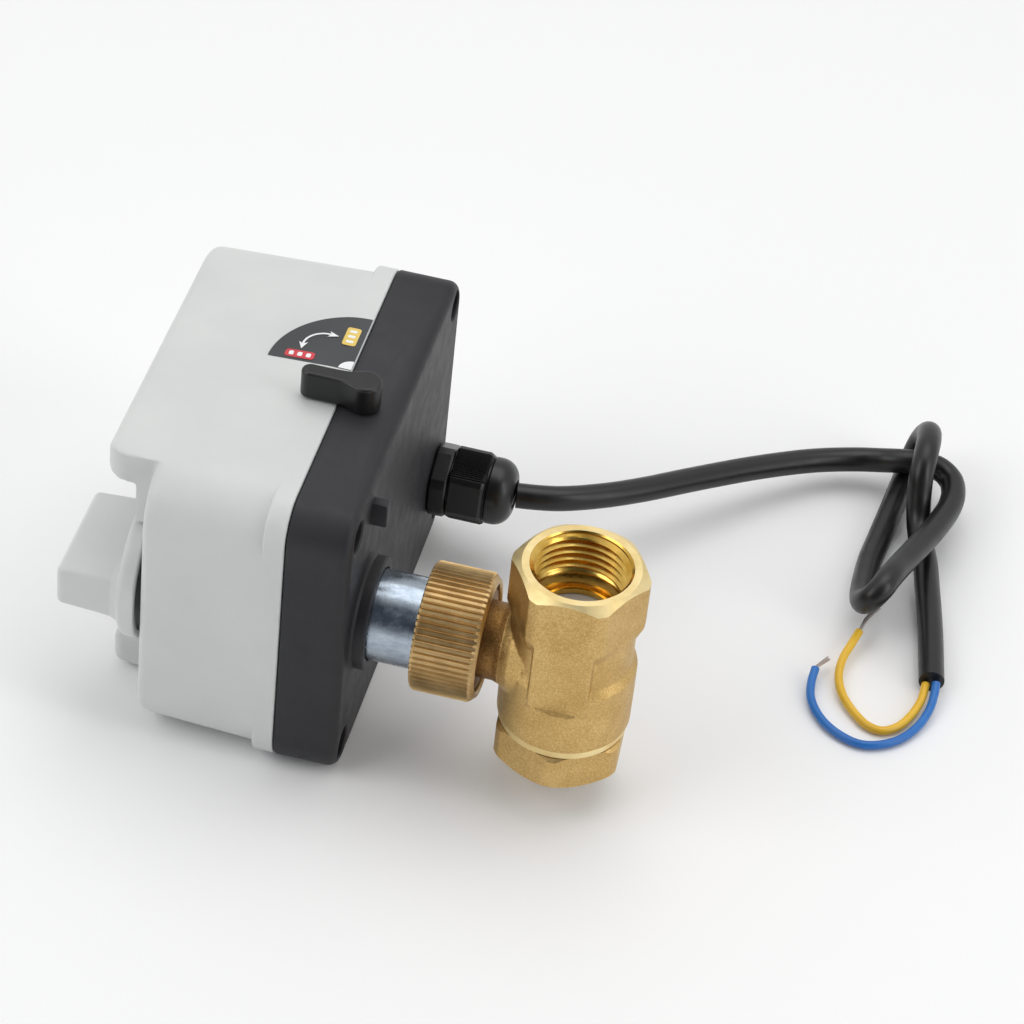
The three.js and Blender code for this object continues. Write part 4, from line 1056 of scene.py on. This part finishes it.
def make_adaptor():
    """The hexagonal end that screws into the barrel and holds the lower seat."""
    turn = math.radians(33)
    bar = softened(hex_bar(-PORT_FACE - 1, -15, turn), 0.28, 3)
    envelope = turned([(0, -PORT_FACE), (12.3, -PORT_FACE), (14.6, -23.7), (16, -20), (16, -18.4),
                       (13.7, ADAPTOR_END), (0, ADAPTOR_END)],
                      "z", (PORT_AXIS, 0), 160)
    whole = boolean(bar, envelope, "INTERSECT")
    plug = turned([(0, -17.3), (11.7, -17.3), (11.7, -11.1), (9.9, -11.1), (9.9, -5.4), (0, -5.4)], "z",
                  (PORT_AXIS, 0), 96)
    bore = turned([(0, -10.5), (8.9, -10.5), (8.9, -5), (0, -5)], "z", (PORT_AXIS, 0), 96)
    whole = cut(joined(whole, plug), *port_cutters(-PORT_FACE, 1), bore)
    obj = piece("adaptor_hex", whole, node="end_adaptor")
    finish_piece(obj, M["brass"], M["bright"], M["bore"], angle=26)

    def rule(centre, normal):
        """0 forged skin, 1 the turned lower face, 2 inside the port."""
        radius = math.hypot(centre.x - PORT_AXIS, centre.y)
        if radius < 10.98:
            return 2
        if normal.z < -0.4:
            return 1
        return 0

    paint_faces(obj, rule)


def make_ball():
    """The chromed ball with its bore and stem slot, and a seat ring on each side of it."""
    bore, mouth = 5, 5.4
    bm = bmesh.new()
    bmesh.ops.create_uvsphere(bm, u_segments=96, v_segments=64, radius=9.5)
    bmesh.ops.translate(bm, vec=(PORT_AXIS, 0, 0), verts=bm.verts)
    body = cut(bm, turned([(0, -12), (mouth, -12), (mouth, -8.2), (bore, -7.9), (bore, 7.9), (mouth, 8.2),
                           (mouth, 12), (0, 12)], "z", (PORT_AXIS, 0), 72),
               box(PORT_AXIS - 11, PORT_AXIS - 6.2, -4.4, 4.4, -1.8, 1.8))
    finish_piece(piece("ball_chromed", body, "valve_ball", "ball"), M["chrome"], angle=30)
    for side, name in ((1, "seat_top"), (-1, "seat_bottom")):
        clear, outer = 9.85, 8.6
        start, end = math.asin(mouth / clear), math.asin(outer / clear)
        profile = [(outer, 10.2 * side), (5.6, 10.2 * side), (mouth, 10.0 * side)]
        for i in range(9):
            angle = start + (end - start) * i / 8
            profile.append((clear * math.sin(angle), clear * math.cos(angle) * side))
        seat = turned(profile, "z", (PORT_AXIS, 0), 72)
        finish_piece(piece(f"{name}_ring", seat, node=name), M["ptfe"], angle=30)


make_valve_body()
make_adaptor()
make_ball()


# ------------ floor and light

def make_stage():
    """A plain pale floor just under the object."""
    bm = bmesh.new()
    bmesh.ops.create_grid(bm, x_segments=1, y_segments=1, size=3.0)
    floor = as_object(bm, "floor")
    floor.location = (0, 0, cad_box[0][2] - 0.0002)
    floor.data.materials.append(new_material("floor_paper", (246, 246, 246), 0.9))


def area(name, spot, target, size, power):
    """A white area light that faces the target."""
    data = bpy.data.lights.new(name, "AREA")
    data.shape = "RECTANGLE"
    data.size, data.size_y = size
    data.energy = power
    obj = bpy.data.objects.new(name, data)
    obj.location = spot
    obj.rotation_euler = (Vector(target) - Vector(spot)).to_track_quat("-Z", "Y").to_euler()
    bpy.context.collection.objects.link(obj)


DARK_SIDE = (0.12, -0.75, 0.65)         # the unlit part of the studio, in front of the object


def make_light():
    """White surroundings with one unlit part in front, and three soft area lights."""
    scene = bpy.context.scene
    world = bpy.data.worlds.new("studio")
    world.use_nodes = True
    tree = world.node_tree
    toward = tree.nodes.new("ShaderNodeTexCoord")
    facing = tree.nodes.new("ShaderNodeVectorMath")
    facing.operation = "DOT_PRODUCT"
    facing.inputs[1].default_value = DARK_SIDE
    tone = tree.nodes.new("ShaderNodeValToRGB")
    tone.color_ramp.elements[0].position = 0.7
    tone.color_ramp.elements[0].color = (1, 1, 1, 1)
    tone.color_ramp.elements[1].position = 0.9
    tone.color_ramp.elements[1].color = (0.1, 0.11, 0.13, 1)
    tree.links.new(toward.outputs["Generated"], facing.inputs[0])
    tree.links.new(facing.outputs["Value"], tone.inputs["Fac"])
    tree.links.new(tone.outputs["Color"], tree.nodes["Background"].inputs["Color"])
    tree.nodes["Background"].inputs["Strength"].default_value = 0.76
    scene.world = world
    scene.view_settings.view_transform = "Standard"
    middle = (0.02, 0.0, 0.03)
    area("key_left", (-0.7, -0.5, 0.8), middle, (0.7, 0.7), 3)
    area("top", (0.1, 0.3, 1.1), middle, (1.0, 0.8), 3.8)
    area("right", (0.9, -0.2, 0.5), middle, (0.3, 0.8), 2)


make_stage()
make_light()
